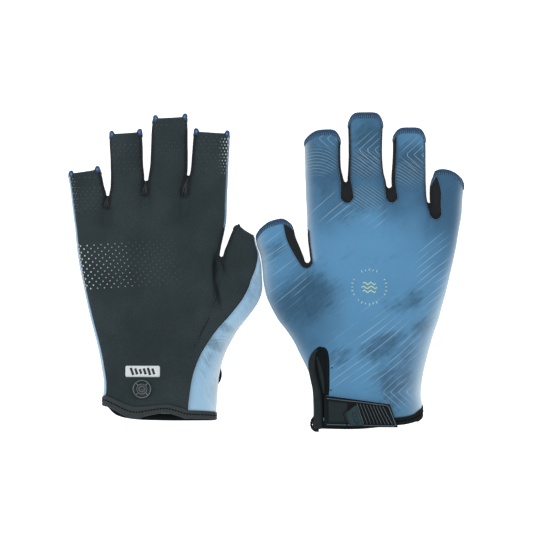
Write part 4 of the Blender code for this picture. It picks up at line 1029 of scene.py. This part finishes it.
def pattern(skin, x, y):
    """How light, smoky and lined the print is, and how much painted rim light pales it."""
    name, edges = skin.name, skin.glove["edges"]

    def strongest(table, *shape):
        return max([0.0] + [patch(spot, x, y, *shape) for spot in table[name]])

    weights = [math.exp(-((x - a) ** 2 + (y - b) ** 2) / 260.0) + 1e-9 for a, b, _ in TONES[name]]
    tone = sum(w * s[2] for w, s in zip(weights, TONES[name])) / sum(weights)
    smoke = strongest(SMOKE, 2.1, 0.45)
    lean = math.radians(38 if skin.back_up else 62)
    bend = 0.9 * math.sin(x * 0.09 + 0.6) + 0.6 * math.sin(y * 0.07)
    fold = min(CHEVRON[name], key=lambda s: math.hypot(x - s[0], y - s[1]), default=(0, 0))
    crest = min(WAVE[name], key=lambda s: math.hypot((x - s[0]) / s[2], (y - s[1]) / s[3]))
    off, knee = abs(x - crest[5]), 0.35 / crest[6]  # past the knee the contours run straight down
    right = max(along(edges["little_b"], y) - x, 0.0)
    on_thumb = y < 34 and x < along(edges["index_a"], max(y, 2.0)) - 1.0
    left = max(x - along(edges["thumb_a" if on_thumb or y < 8 else "index_a"], y), 0.0)

    def glow(share, far, reach, exponent=1.3):
        """Painted rim light: paler cloth where it rolls away at the side of the hand."""
        return share * math.exp(-(far / reach) ** exponent)

    # painted rim light: how much paler the cloth is along each side of the hand
    if not skin.back_up:
        beside_index = y > 12 and not on_thumb
        pale = glow(0.12 if beside_index else 0.25 + 0.5 * ease((-20 - y) / 20), left, 3.6) + glow(0.3, right, 2.5)
        if beside_index and left < 6:
            smoke, tone = 1.0, 0.0
    elif y > 60:
        pale = glow(0.62, left, 2.4) + glow(0.25, right, 2.0)
    else:
        low = ease((30 - y) / 80)
        pale = glow(0.56 + 0.26 * low, right, 2.2 + 2.2 * low) + glow(0.10 * ease((5 - y) / 40), right, 12, 1)
        pale += glow(0.62 if y > 20 else 0.42 + 0.3 * ease((y + 20) / 15), left, 3.2 if on_thumb else 2.6)
    return {"tone": tone, "smoke": smoke, "run": x * math.cos(lean) + y * math.sin(lean),
            "rain": y * math.cos(lean) - x * math.sin(lean) + bend, "rain_on": strongest(RAIN, 1.5),
            "chevron": x - 1.12 * abs(y - fold[1]), "chevron_on": strongest(CHEVRON, 1.25),
            "wave": y + crest[6] * (off ** 2 if off < knee else knee * (2 * off - knee)),
            "wave_on": patch(crest, x, y, 1.35), "pale": min(pale, 0.9)}


def paint(obj, skin, shade):
    """Stores what shade(skin, x, y) says on each of a panel's points."""
    rows = []
    for vertex in obj.data.vertices:
        x, y, _ = np.array(vertex.co) * 1000 - SHIFT
        rows.append(shade(skin, x if skin.back_up else -x, y))
    for key in rows[0]:
        column = np.array([row[key] for row in rows], np.float32)
        obj.data.attributes.new("print_" + key, "FLOAT", "POINT").data.foreach_set("value", column)


# ---------------------------------------------------------------- one glove
def finger_edging(skin, name):
    """The overlocked edge round the back of a finger end, its threads wrapped across it."""
    sides, back = skin.tips[name], "upper" if skin.back_up else "lower"
    reach = SIDE if not skin.back_up and name != "thumb" else SIDE // 2  # how far it goes down the side strips
    down = [c if skin.back_up else SIDE - c for c in range(1, reach + 1)]

    def round_back(r):
        return [sides["a"][r][c] for c in down[::-1]] + sides[back][r] + [sides["b"][r][c] for c in down]

    line = [(skin.points[i], skin.normals[i], unit(skin.points[i] - skin.points[j]))
            for i, j in zip(round_back(0), round_back(2))]
    line = resampled(line, EDGING_STEP)
    last = len(line) - 1

    def section(t):
        k = t * last
        wrap = 0.5 + 0.5 * math.sin(k * EDGING_STEP / THREAD_TURN * 2 * math.pi)
        high = EDGING_RISE * (0.35 + 0.9 * wrap)
        slim = min(1.0, (min(k, last - k) + 3) / (12 if skin.back_up else 24))
        wide = EDGING_WIDTH * (0.94 + 0.05 * wrap) * (0.55 + 0.45 * slim)
        return [(-0.55, 0.0), (-0.35, high * 0.7), (wide * 0.2, high), (wide * 0.6, high * 1.1),
                (wide * 0.92, high * 0.6), (wide, -0.3), (wide * 0.96, -0.9), (wide * 0.6, -1.25), (-0.3, -1.2)]

    skin.add(name + "_overlock", swept(line, section), "edging" if skin.back_up else "edging_light",
             node=name + "_edging")
    skin.add(name + "_overlock_thread",
             [capsule(p - side * 0.75 + normal * 0.1, p + side * 0.75 + normal * (EDGING_RISE + 0.1), 0.22, normal)
              for p, normal, side in line[3:last - 2:8]], "thread_blue")
    if not skin.back_up and name != "thumb":
        rolled_ends(skin, name)


def rolled_ends(skin, name):
    """The ends of a finger's edging, rolled up and seen from the palm."""
    rolls, cores = [], []
    for end, way, y in zip(("_a", "_b"), (1, -1), skin.glove["tips"][name]):
        x = along(skin.glove["edges"][name + end], y) + way * 1.35
        base = skin.on(x, y - 1.3, True, 0.0) + (0, 0.5, 0)
        for grow, high, into in ((1.0, 0.75, rolls), (0.48, 0.95, cores)):
            rings = []
            for share, level in ((1.0, -1.6), (1.08, -0.4), (0.96, high * 0.5), (0.62, high * 0.92)):
                wide, tall = 1.75 * grow * share, 2.3 * grow * share
                rings.append([base + (way * 0.12 * tall * math.sin(turn) - wide * math.cos(turn),
                                      tall * math.sin(turn), level) for turn in turns(14)])
            into.append(stacked(rings, tip=base + (0, 0, high)))
    skin.add(name + "_rolled_ends", rolls, "edging_light")
    skin.add(name + "_rolled_cores", cores, "thread_blue")


def wrist_band(skin):
    """The tape round the wrist, folded over the hem, with its line of stitches."""
    count = len(skin.wrist) // 2 - SIDE + 1
    over, under = skin.glove["tape_width"]
    across, turning = [k / (count - 1) for k in range(count)], [k / SIDE for k in range(1, SIDE)]
    widths = [ramp(over, t) for t in across] + [bowed(ramp(over, 1), ramp(under, 1), None, t) for t in turning]
    widths += [ramp(under, t) for t in across[::-1]] + [bowed(ramp(under, 0), ramp(over, 0), None, t) for t in turning]
    line = [(skin.points[i], unit(skin.normals[i] * (1, 0, 1)), np.array((0.0, -1.0, 0.0)), np.full(3, width))
            for i, width in zip(skin.wrist, widths)]
    line = resampled(line + line[:1], 0.6)[:-1]
    rings = []
    for p, normal, way, (w, _, _) in line:
        section = [(-0.5, 0.05), (-0.35, 0.42), (0.3, 0.62), (w * 0.3, 0.50), (w * 0.7, 0.48), (w - 1.0, 0.66),
                   (w - 0.35, 0.45), (w, -0.15), (w - 0.05, -0.85), (w - 0.6, -1.4), (w * 0.5, -1.3), (0.2, -1.3)]
        rings.append([p + way * a + normal * b for a, b in section])
    hem = skin.add("wrist_hem", stacked(rings, closed=True), "tape", node="wrist_tape")
    hem.data.materials.append(MATERIAL["tape_palm"][1])
    palm = -1 if skin.back_up else 1
    for polygon in hem.data.polygons:
        polygon.material_index = int(line[polygon.index // len(rings[0])][1][2] * palm > -0.25)
    run = [(p + way * (0.42 * w), normal, way) for p, normal, way, (w, _, _) in line]
    skin.add("wrist_stitches", stitches(run + run[:1], 1.0, 1.0, 0.42, 0.0, 0.56), "thread_black")


def dots(skin):
    """Silicone grip dots on the palm: a band across the ball of the hand, and a field on each finger end."""
    upper, edges = not skin.back_up, skin.glove["edges"]
    strong, mid, faint = [], [], []

    def dome(x, y, radius, high, into):
        base = skin.on(x, y, upper, 0.0)
        normal = skin.on(x, y, upper, 1.0) - base
        a = unit(np.cross(normal, (0, 1.0, 0)))
        b = np.cross(normal, a)
        rings = [[base + (a * math.cos(turn) + b * math.sin(turn)) * radius * share + normal * level
                  for turn in turns(8)] for share, level in ((1.0, -0.08), (0.86, high * 0.6), (0.45, high))]
        into.append(stacked(rings, tip=base + normal * high * 1.08))

    for row in range(28):  # closer together where the band rolls round the side of the hand
        y = 18.4 - row * 1.085
        dome(along(edges["little_b"], y) - (0.75 if row % 2 else 1.7), y, 0.42, 0.2, strong)
    for row in range(14):
        for k in range(row % 2, 30, 2):
            reach = k * 2.32  # along the cloth, which rolls away at the side of the hand
            across = reach ** 2 / 12 if reach < 6 else reach - 3
            y = 17.6 - row * 2.17 + 0.065 * across
            x = along(edges["little_b"], y) - 0.9 - across
            fade = min(across / 60.0, 1.0)
            if x >= 52 + 3 * (row % 3):
                # brighter towards the rolled side of the hand: painted highlight
                dome(x, y, 0.64 - 0.38 * fade ** 0.7, 0.24 - 0.12 * fade,
                     strong if across < 7 else mid if across < 32 else faint)
    for name in DIGITS:
        tip = min(skin.glove["tips"][name][:2]) - 3.0
        for row in range(10):
            for k in range(-5, 6):
                y = tip - row * 2.3
                left, right = along(edges[name + "_a"], y), along(edges[name + "_b"], y)
                x = (left + right) / 2 + k * 3.4 + (1.7 if row % 2 else 0)
                if left + 2.2 < x < right - 2.2 and math.sin(x * 12.9898 + y * 78.233) > -0.45:
                    dome(x, y, 0.34 - 0.015 * row, 0.14, faint)
    # the brighter dots along the rolled sides paint the highlight they catch there
    for row in range(12):  # the rolled sides of the outer fingers show their dots bright
        for k in range(3):
            y = (88.5 if upper else 84.5) - row * 2.05
            x = along(edges["index_a"], y) + 1.2 + k * 2.0 + (1.0 if row % 2 else 0)
            dome(x, y, 0.62 - 0.12 * k - 0.02 * row, 0.18, strong if k < 2 and row < 9 else mid)
            y = 62.0 - row * 1.9
            x = along(edges["little_b"], y) - 1.2 - k * 2.0 - (1.0 if row % 2 else 0)
            dome(x, y, 0.38 - 0.08 * k - 0.012 * row, 0.15, mid if k < 2 else faint)
    for name, parts in (("", strong), ("_mid", mid), ("_faint", faint)):
        skin.add("grip_dots" + name, parts, "dot" + name)


def press_stud(skin):
    """The two halves of the press stud on the palm side, and the cap on the back of it."""
    way = -1 if skin.back_up else 1
    low, high = cad_box(skin.name + "_snap_ring")
    outer, centre = (high[0] - low[0]) / 2, (low + high) / 2
    centre[2] = (high if skin.back_up else low)[2] - way * 0.25
    base = [(outer - 2.1, 0.0), (outer - 0.2, 0.0), (outer, 0.25), (outer, 0.8), (outer - 0.25, 1.2),
            (outer - 0.8, 1.35), (outer - 1.2, 1.15), (outer - 1.45, 0.75), (0.6, 0.72)]
    socket = [(3.6, 0.7), (3.75, 0.9), (3.6, 1.35), (3.2, 1.5), (2.9, 1.3), (2.2, 1.25), (2.0, 1.5), (1.6, 1.6),
              (1.35, 1.2), (0.4, 1.15)]
    skin.add("stud_base", lathe(centre, way, base), "snap", node="snap_ring")
    skin.add("stud_socket", lathe(centre, way, socket), "snap", node="snap_button")

    def around(turn, radius, height):
        return centre + (math.cos(turn) * radius, math.sin(turn) * radius, way * height)

    parts = []
    for radius, height, tube in ((outer - 0.75, 1.36, 0.16), (3.35, 1.5, 0.13), (1.8, 1.6, 0.12)):
        rim = [(around(turn, radius, height), np.array((0, 0, float(way))),
                np.array((math.cos(turn), math.sin(turn), 0.0))) for turn in turns(48)]
        section = [(tube * math.cos(turn), tube * math.sin(turn)) for turn in turns(6)]
        parts.append(swept(rim, lambda t: section, closed=True))
    for turn in turns(4):
        ends = (around(turn + math.pi / 4, radius, 0.95) for radius in (3.6, 5.2))
        parts.append(capsule(*ends, 0.32, (0, 0, way)))
    # the raised rims take the lighter copy of the plastic, a painted highlight
    skin.add("stud_rims", parts, "snap_light")
    low, high = cad_box(skin.name + "_snap_backing")
    reach, deep = (high[0] - low[0]) / 2, high[2] - low[2]
    cap = [(reach - 0.15, 0.0), (reach, 0.2), (reach, deep - 0.3), (reach - 0.3, deep), (reach * 0.62, deep),
           (reach * 0.56, deep - 0.2), (reach * 0.3, deep - 0.25)]
    skin.add("stud_cap", lathe((*(low + high)[:2] / 2, low[2]), 1, cap), "snap", node="snap_backing")


def wrist_label(skin):
    """The woven label: a white field, with plain bars in place of any wording."""
    upper, (cx, cy), (w, h) = not skin.back_up, LABEL_CENTRE, LABEL_SIZE
    rows = []
    for r in range(9):
        v = -1 + 2 * r / 8
        half = w / 2 - 0.5 * (1 - math.sqrt(1 - abs(v) ** 8))
        rows.append([(cx - half + 2 * half * c / 24, cy + v * h / 2) for c in range(25)])
    skin.add("label_field", slab(skin, rows, upper, 0.05, 0.45, 0.18), "label", node="wrist_label")
    bars = []
    for k in range(6):  # slanting bars that swell and shrink like a wave
        x, high = cx - 7.0 + k * 2.8, 1.95 + 0.4 * math.sin(k * math.pi / 2)
        line = [(x + 0.35 * high * t, cy + high * t) for t in (-1, -0.5, 0, 0.5, 1)]
        bars.append(skin.band(line, upper, 0.44, 1.75, 0.0, 0.12, 3))
    skin.add("label_marks", bars, "label_ink")


def emblem(skin):
    """A generic mark on the back: a broken ring of ticks round three small waves."""
    cx, cy = EMBLEM_CENTRE
    parts = []
    for k, turn in enumerate(turns(28)):
        if k not in (3, 4, 10, 11, 17, 24, 25):
            ends = ((cx + math.cos(turn) * far, cy + math.sin(turn) * far) for far in (10.6, 12.1 if k % 2 else 11.7))
            parts.append(skin.band(straight(tuple(ends), 3), True, 0.0, 0.5, -0.02, 0.05, 3))
    for shift, size in ((2.3, 4.2), (-0.3, 5.2), (-2.9, 4.2)):
        wave = [(cx - size + t * size / 4, cy + shift + 0.75 * math.sin(t * math.pi / 2)) for t in range(9)]
        parts.append(skin.band(curve_through(wave, 36), True, 0.0, 0.62, -0.02, 0.05, 3))
    skin.add("back_mark", parts, "print")


def pile(skin, node, look, flap, pitch, radius, high):
    """Hook or loop tape: the tape of the node, with its hooks or its loops standing on the face that closes."""
    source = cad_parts["%s_%s" % (skin.name, node)]
    points = [np.array(source.matrix_world @ v.co) * 1000 - SHIFT for v in source.data.vertices]
    faces = [tuple(p.vertices) for p in source.data.polygons]
    skin.add(node + "_tape", (points, faces), look, flap, node, smooth=False)
    tree = BVHTree.FromPolygons([Vector(p) for p in points], faces)
    low, top = np.min(points, axis=0), np.max(points, axis=0)
    facing = 1 if skin.back_up == (look == "loop") else -1
    parts, row, y = [], 0, low[1] + 0.8
    while y < top[1] - 0.6:
        x = low[0] + 0.8 + (pitch / 2 if row % 2 else 0)
        while x < top[0] - 0.6:
            start = Vector((x, y, top[2] + 5 if facing > 0 else low[2] - 5))
            hit, normal, _, _ = tree.ray_cast(start, Vector((0, 0, -facing)))
            if hit is not None and normal.z * facing > 0.5:
                lean = 0.5 * pitch * math.sin(x * 7.1 + y * 3.7)
                foot, end = np.array(hit - normal * 0.1), np.array(hit + normal * high)
                parts.append(capsule(foot, end + (lean * 0.4, 0.25 * lean, 0), radius, (0.0, 1.0, 0.0), 4))
            x += pitch
        y += pitch * 0.87
        row += 1
    if parts:
        skin.add(node + "_pile", parts, look, flap)


def slit(skin):
    """The keyhole slit: the stretch insert under it, the rolled edge on its far side, and its fold and pleat."""
    up = skin.back_up
    left = [(x - (1.6 if k else 0.6), y) for k, (x, y) in enumerate(SLIT_LEFT)]
    right = [(x + (1.9 if k else 0.6), y) for k, (x, y) in enumerate(SLIT_RIGHT)]
    rows = between(*(curve_through(skin.closure(side), 36) for side in (left, right)), 10)
    skin.add("slit_insert", slab(skin, rows, up, -1.3, 0.8, 0.0), "insert", node="slit_gusset")
    skin.add("slit_rim", skin.band(curve_through(skin.closure(SLIT_RIM), 60), up, 0.0, 2.7, -0.9, 0.26), "insert",
             node="slit_edging")

    def fold(t):
        """A thick rolled band, creased along its middle and drawn in at its foot."""
        wide = 2.0 + 2.6 * ease(t / 0.3) + 1.6 * ease((t - 0.55) / 0.2)
        wide *= 0.45 + 0.55 * math.sqrt(max(1 - max((t - 0.965) / 0.035, 0) ** 2, 0.0))
        high = 0.9 + 0.9 * ease((t - 0.1) / 0.3)
        crease = 0.35 * math.exp(-((t - 0.45) / 0.25) ** 2)
        return [(s, h - crease * math.exp(-((s - 0.3) / 0.5) ** 2)) for s, h in rounded(wide, -0.8, high, 9)]

    spine = curve_through(skin.closure(FOLD_SPINE + (FOLD_FOOT[up],)), 90)
    skin.add("slit_fold", swept(skin.laid(spine, up), fold), "fold", node="strap_anchor")
    skin.add("slit_pleat", skin.band(curve_through(skin.closure(PLEAT), 40), up, -0.6,
                                     lambda t: (0.5 + 2.2 * math.sin(math.pi * t) ** 0.7, 0.0, 0.75)), "fold")


def strap(skin):
    """The strap's cloth and its moulded tab, with border, field, ribs and badge."""
    up, (top, foot, far_top, far_foot) = skin.back_up, skin.closure(STRAP_CORNERS)
    if not up:
        far_foot = (far_foot[0], far_foot[1] + 3.2)

    def at(u, v):
        return lerp(lerp(top, foot, v), lerp(far_top, far_foot, v), u)

    def plate(rows, columns, u0=0.0, u1=1.0, v0=0.0, v1=1.0):
        return between(*(straight((at(u, v0), at(u, v1)), rows) for u in (u0, u1)), columns)

    skin.add("strap_cloth", slab(skin, plate(10, 40), up, STRAP_LIFT, STRAP_THICK, 0.2), "tape", True, "closure_strap")
    skin.add("tab_body", slab(skin, plate(14, 44), up, PULL_LIFT - 0.25, PULL_THICK + 0.05, 0.3), "rubber", True,
             "pull_tab")
    rim = straight([at(*share) for share in TAB_RIM], pitch=0.8)
    skin.add("tab_border", skin.band(rim, up, TAB_TOP, 0.55, -0.1, 0.22, 4), "rubber_border_and_ridge_highlight", True)
    field = plate(6, 14, 0.06, 0.34, 0.15, 0.86)
    skin.add("tab_field", slab(skin, field, up, TAB_TOP - 0.05, 0.3, 0.15), "rubber_field", True)
    # dark ribs, and thin light ridges between them that paint the highlights on the ribs' edges
    for name, look, count, first, wide, high in (("tab_ribs", "rubber", 10, 0.470, 1.25, 0.5),
                                                 ("tab_ridge_highlights", "rubber_border_and_ridge_highlight", 9, 0.4935, 0.42, 0.62)):
        starts = [first + 0.0495 * k for k in range(count)]
        skin.add(name, [skin.band(straight((at(u - 0.012, 0.135), at(u + 0.046, 0.875))), up, TAB_TOP - 0.1,
                                  wide, 0.0, high, 4) for u in starts], look, True)
    tip, knee, heel, far_heel = skin.closure((BADGE_TIP, BADGE_KNEE, BADGE_HEEL, BADGE_FAR_HEEL))
    rows = between(straight((tip, knee, heel), 6), straight(((tip[0] + 0.9, tip[1]), far_heel), 12), 10)
    skin.add("badge_plate", slab(skin, rows, up, TAB_TOP - 0.05, 0.45, 0.15), "badge", True, "tab_badge")
    skin.add("badge_frame", skin.band(straight(skin.closure(BADGE_FRAME)), up, TAB_TOP, 0.9, -0.1, 0.3, 4), "rubber",
             True)
    centre, run = np.array(skin.closure([BADGE_MARK])[0]), np.array((1.6, -4.3))
    side = unit(np.array((-run[1], run[0]))) * 1.25
    loop = [centre + run * power(math.cos(turn), 0.5) * 0.95 + side * math.sin(turn) for turn in turns(24)]
    parts = [skin.band(loop + loop[:1], up, TAB_TOP + 0.36, 0.32, 0, 0.1, 3)]
    for k in range(4):
        middle = centre + run * (-0.6 + 0.4 * k)
        parts.append(skin.band([middle + side * s for s in (-0.5, 0, 0.5)], up, TAB_TOP + 0.36, 0.42, 0, 0.1, 3))
    skin.add("badge_mark", parts, "rubber", True)


def closure(skin):
    """The keyhole slit with its fold, the strap with its tapes, and the tacks and tape round them."""
    slit(skin)
    strap(skin)
    pile(skin, "hook_patch", "hook", True, 1.05, 0.14, 0.32)
    pile(skin, "loop_patch", "loop", False, 0.85, 0.2, 0.22)
    if skin.back_up:
        loop = skin.band(curve_through(skin.closure(HEM_LOOP), 30), True, 0.0, 1.9, -0.5, 0.8)
        skin.add("hem_loop", loop, "tape")
    else:
        line = [(np.array((-x, y, 8.5)), np.array((0.0, 0.0, 1.0)), np.array((1.0, 0.0, 0.0)))
                for x, y in curve_through(skin.closure(SLIT_BULGE), 24)]
        bulge = swept(line, lambda t: rounded(0.5 + 1.5 * math.sin(math.pi * t) ** 0.6, -2.0, 2.4))
        skin.add("slit_bulge", bulge, "insert")
    tacks = []
    for x, y in skin.closure(BAR_TACKS):
        a, b = (skin.on(x + 1.3 * t, y + 0.25 * t, skin.back_up, 0.1) for t in (0, 1))
        tacks.append(capsule(a, b, 0.35, skin.on(x, y, skin.back_up, 1.1) - a))
    skin.add("bar_tacks", tacks, "thread_dark")


def cut_slit(obj, skin):
    """Cuts the keyhole through the back panel with an exact Boolean, and applies it."""
    left = [(x - (1.6 if 0 < k < 5 else 0.0), y) for k, (x, y) in enumerate(SLIT_LEFT)]
    right = [(x + (0.6 if k else 0.0), y) for k, (x, y) in enumerate(SLIT_RIGHT)]
    line = curve_through(skin.closure(left), 40) + curve_through(skin.closure(right), 40)[::-1]
    points, faces = stacked([[skin.on(x, y, skin.back_up, 0) + SHIFT + (0, 0, high) for x, y in line]
                             for high in (2.6, -2.2)])
    mesh = bpy.data.meshes.new("cutter")
    mesh.from_pydata([tuple(p * 0.001) for p in points], [], faces)
    cutter = bpy.data.objects.new("cutter", mesh)
    bpy.context.scene.collection.objects.link(cutter)
    boolean = obj.modifiers.new("slit", "BOOLEAN")
    boolean.operation, boolean.solver, boolean.object = "DIFFERENCE", "EXACT", cutter
    made = bpy.data.meshes.new_from_object(obj.evaluated_get(bpy.context.evaluated_depsgraph_get()))
    obj.modifiers.clear()
    obj.data = made
    bpy.data.objects.remove(cutter)


def slot_folds(skin):
    """Creases of the side strips where they gather at the foot of each slot, on the palm."""
    parts, edges = [], skin.glove["edges"]
    for first, second in zip(DIGITS, DIGITS[1:]):
        foot, _, top = skin.glove["webs"][first]
        for k, share in enumerate((0.22, 0.5, 0.78)):
            line = []
            for t in np.linspace(0, 1, 9):
                y = top - 0.6 + (foot - 1.8 - (top - 0.6)) * t
                a, b = along(edges[first + "_b"], y) - 1.1 * t, along(edges[second + "_a"], y) + 1.1 * t
                mix = 0.5 + (share - 0.5) * (0.5 + 0.5 * t)
                line.append((a + (b - a) * mix + 0.35 * math.sin(5 * t + 2 * k), y))
            parts.append(skin.band(line, True, -0.1, lambda t: (0.35 + 0.85 * math.sin(math.pi * t), -0.3,
                                                                0.55 * math.sin(math.pi * t))))
    skin.add("slot_folds", parts, "tape_palm")


def make_glove(glove):
    skin = Skin(glove)
    # the palm-up glove's back takes the paler copy of the print, painted rim light on the sides it wraps
    looks = {"back_panel": "back_face" if skin.back_up else "back_side_rim_lit", "palm_panel": "suede", "thumb_panel": "suede"}
    for label in sorted(set(skin.labels)):
        node = ["palm_panel", "thumb_panel"] if label == "palm_panel" and not skin.back_up else label
        # on the palm-up glove the side strips take the lighter copy of the knit, painting the light they catch
        look = looks.get(label, "knit" if skin.back_up else "knit_palm")
        panel = skin.add(label + "_cloth", panel_mesh(skin, label), look, node=node)
        if label == "back_panel":
            cut_slit(panel, skin)
            paint(panel, skin, pattern)
        elif look == "suede":
            # painted shade in the suede's sharpest folds
            paint(panel, skin, fold_shade_spots)
    for digit in ("thumb",) + DIGITS:
        finger_edging(skin, digit)
    for make in (wrist_band, dots, press_stud, wrist_label, closure):
        make(skin)
    strips = set(skin.labels) - SUEDES - {"back_panel"}
    for name, first, second, look, stitch in (
            ("strip_stitches", {"back_panel"}, strips, "thread_blue", (0.5, 0.8, 0.26, 0.3, 0.04, 0.1)),
            ("palm_seam_stitches", {"back_panel"}, SUEDES, "thread_pale", (0.6, 0.9, 0.17, 0.35, 0.0, 0.1)),
            ("palm_topstitch", SUEDES, strips, "thread_dark", (1.5, 0.8, 0.14, 0.9, -0.02))):
        parts = [one for line in seam(skin, first, second) for one in stitches(line, *stitch)]
        skin.add(name, parts, look)
    (emblem if skin.back_up else slot_folds)(skin)


for one in (BACK_UP, PALM_UP):
    make_glove(one)


# ---------------------------------------------------------------- floor, light, camera
def area(name, place, size, watts):
    """A rectangular lamp that looks at the middle of the frame."""
    lamp = bpy.data.lights.new(name, "AREA")
    lamp.shape, lamp.size, lamp.size_y, lamp.energy = "RECTANGLE", size[0], size[1], watts
    obj = bpy.data.objects.new(name, lamp)
    obj.location = place
    bpy.context.scene.collection.objects.link(obj)
    obj.rotation_euler = (-obj.location).to_track_quat("-Z", "Y").to_euler()


floor_mesh = bpy.data.meshes.new("floor")
floor_mesh.from_pydata([(-3, -3, -0.0002), (3, -3, -0.0002), (3, 3, -0.0002), (-3, 3, -0.0002)], [], [(0, 1, 2, 3)])
floor = bpy.data.objects.new("floor", floor_mesh)
bpy.context.scene.collection.objects.link(floor)
n = Nodes("Pale floor")
n.finish(n.mix(n.range(n.noise(6, 2.0), 0.3, 0.7), (0.80, 0.80, 0.80), (0.82, 0.82, 0.82)), 0.9, specular=0.1)
n.shader.inputs["Emission Color"].default_value = (1, 1, 1, 1)
n.shader.inputs["Emission Strength"].default_value = 0.85  # a lit table, so the slots between fingers stay pale
floor_mesh.materials.append(n.material)

area("key", (-0.25, 0.5, 1.3), (1.2, 1.2), 9)
area("left", (-1.1, 0.05, 0.42), (0.5, 1.6), 4.5)
area("right", (1.1, 0.05, 0.42), (0.5, 1.6), 4.5)
world = bpy.data.worlds.new("studio")
bpy.context.scene.world = world
world.use_nodes = True
world.node_tree.nodes["Background"].inputs[0].default_value = (1, 1, 1, 1)
world.node_tree.nodes["Background"].inputs[1].default_value = 0.72
bpy.context.scene.view_settings.view_transform = "Standard"

FRAME_WIDTH, DISTANCE = 0.3518, 2.6
camera_data = bpy.data.cameras.new("camera")
camera_data.sensor_width = 36
camera_data.lens = 36 * DISTANCE / FRAME_WIDTH
camera_data.clip_end = 20
camera = bpy.data.objects.new("camera", camera_data)
camera.location = (0.0002, 0.0026, DISTANCE + 0.012)
bpy.context.scene.collection.objects.link(camera)
bpy.context.scene.camera = camera
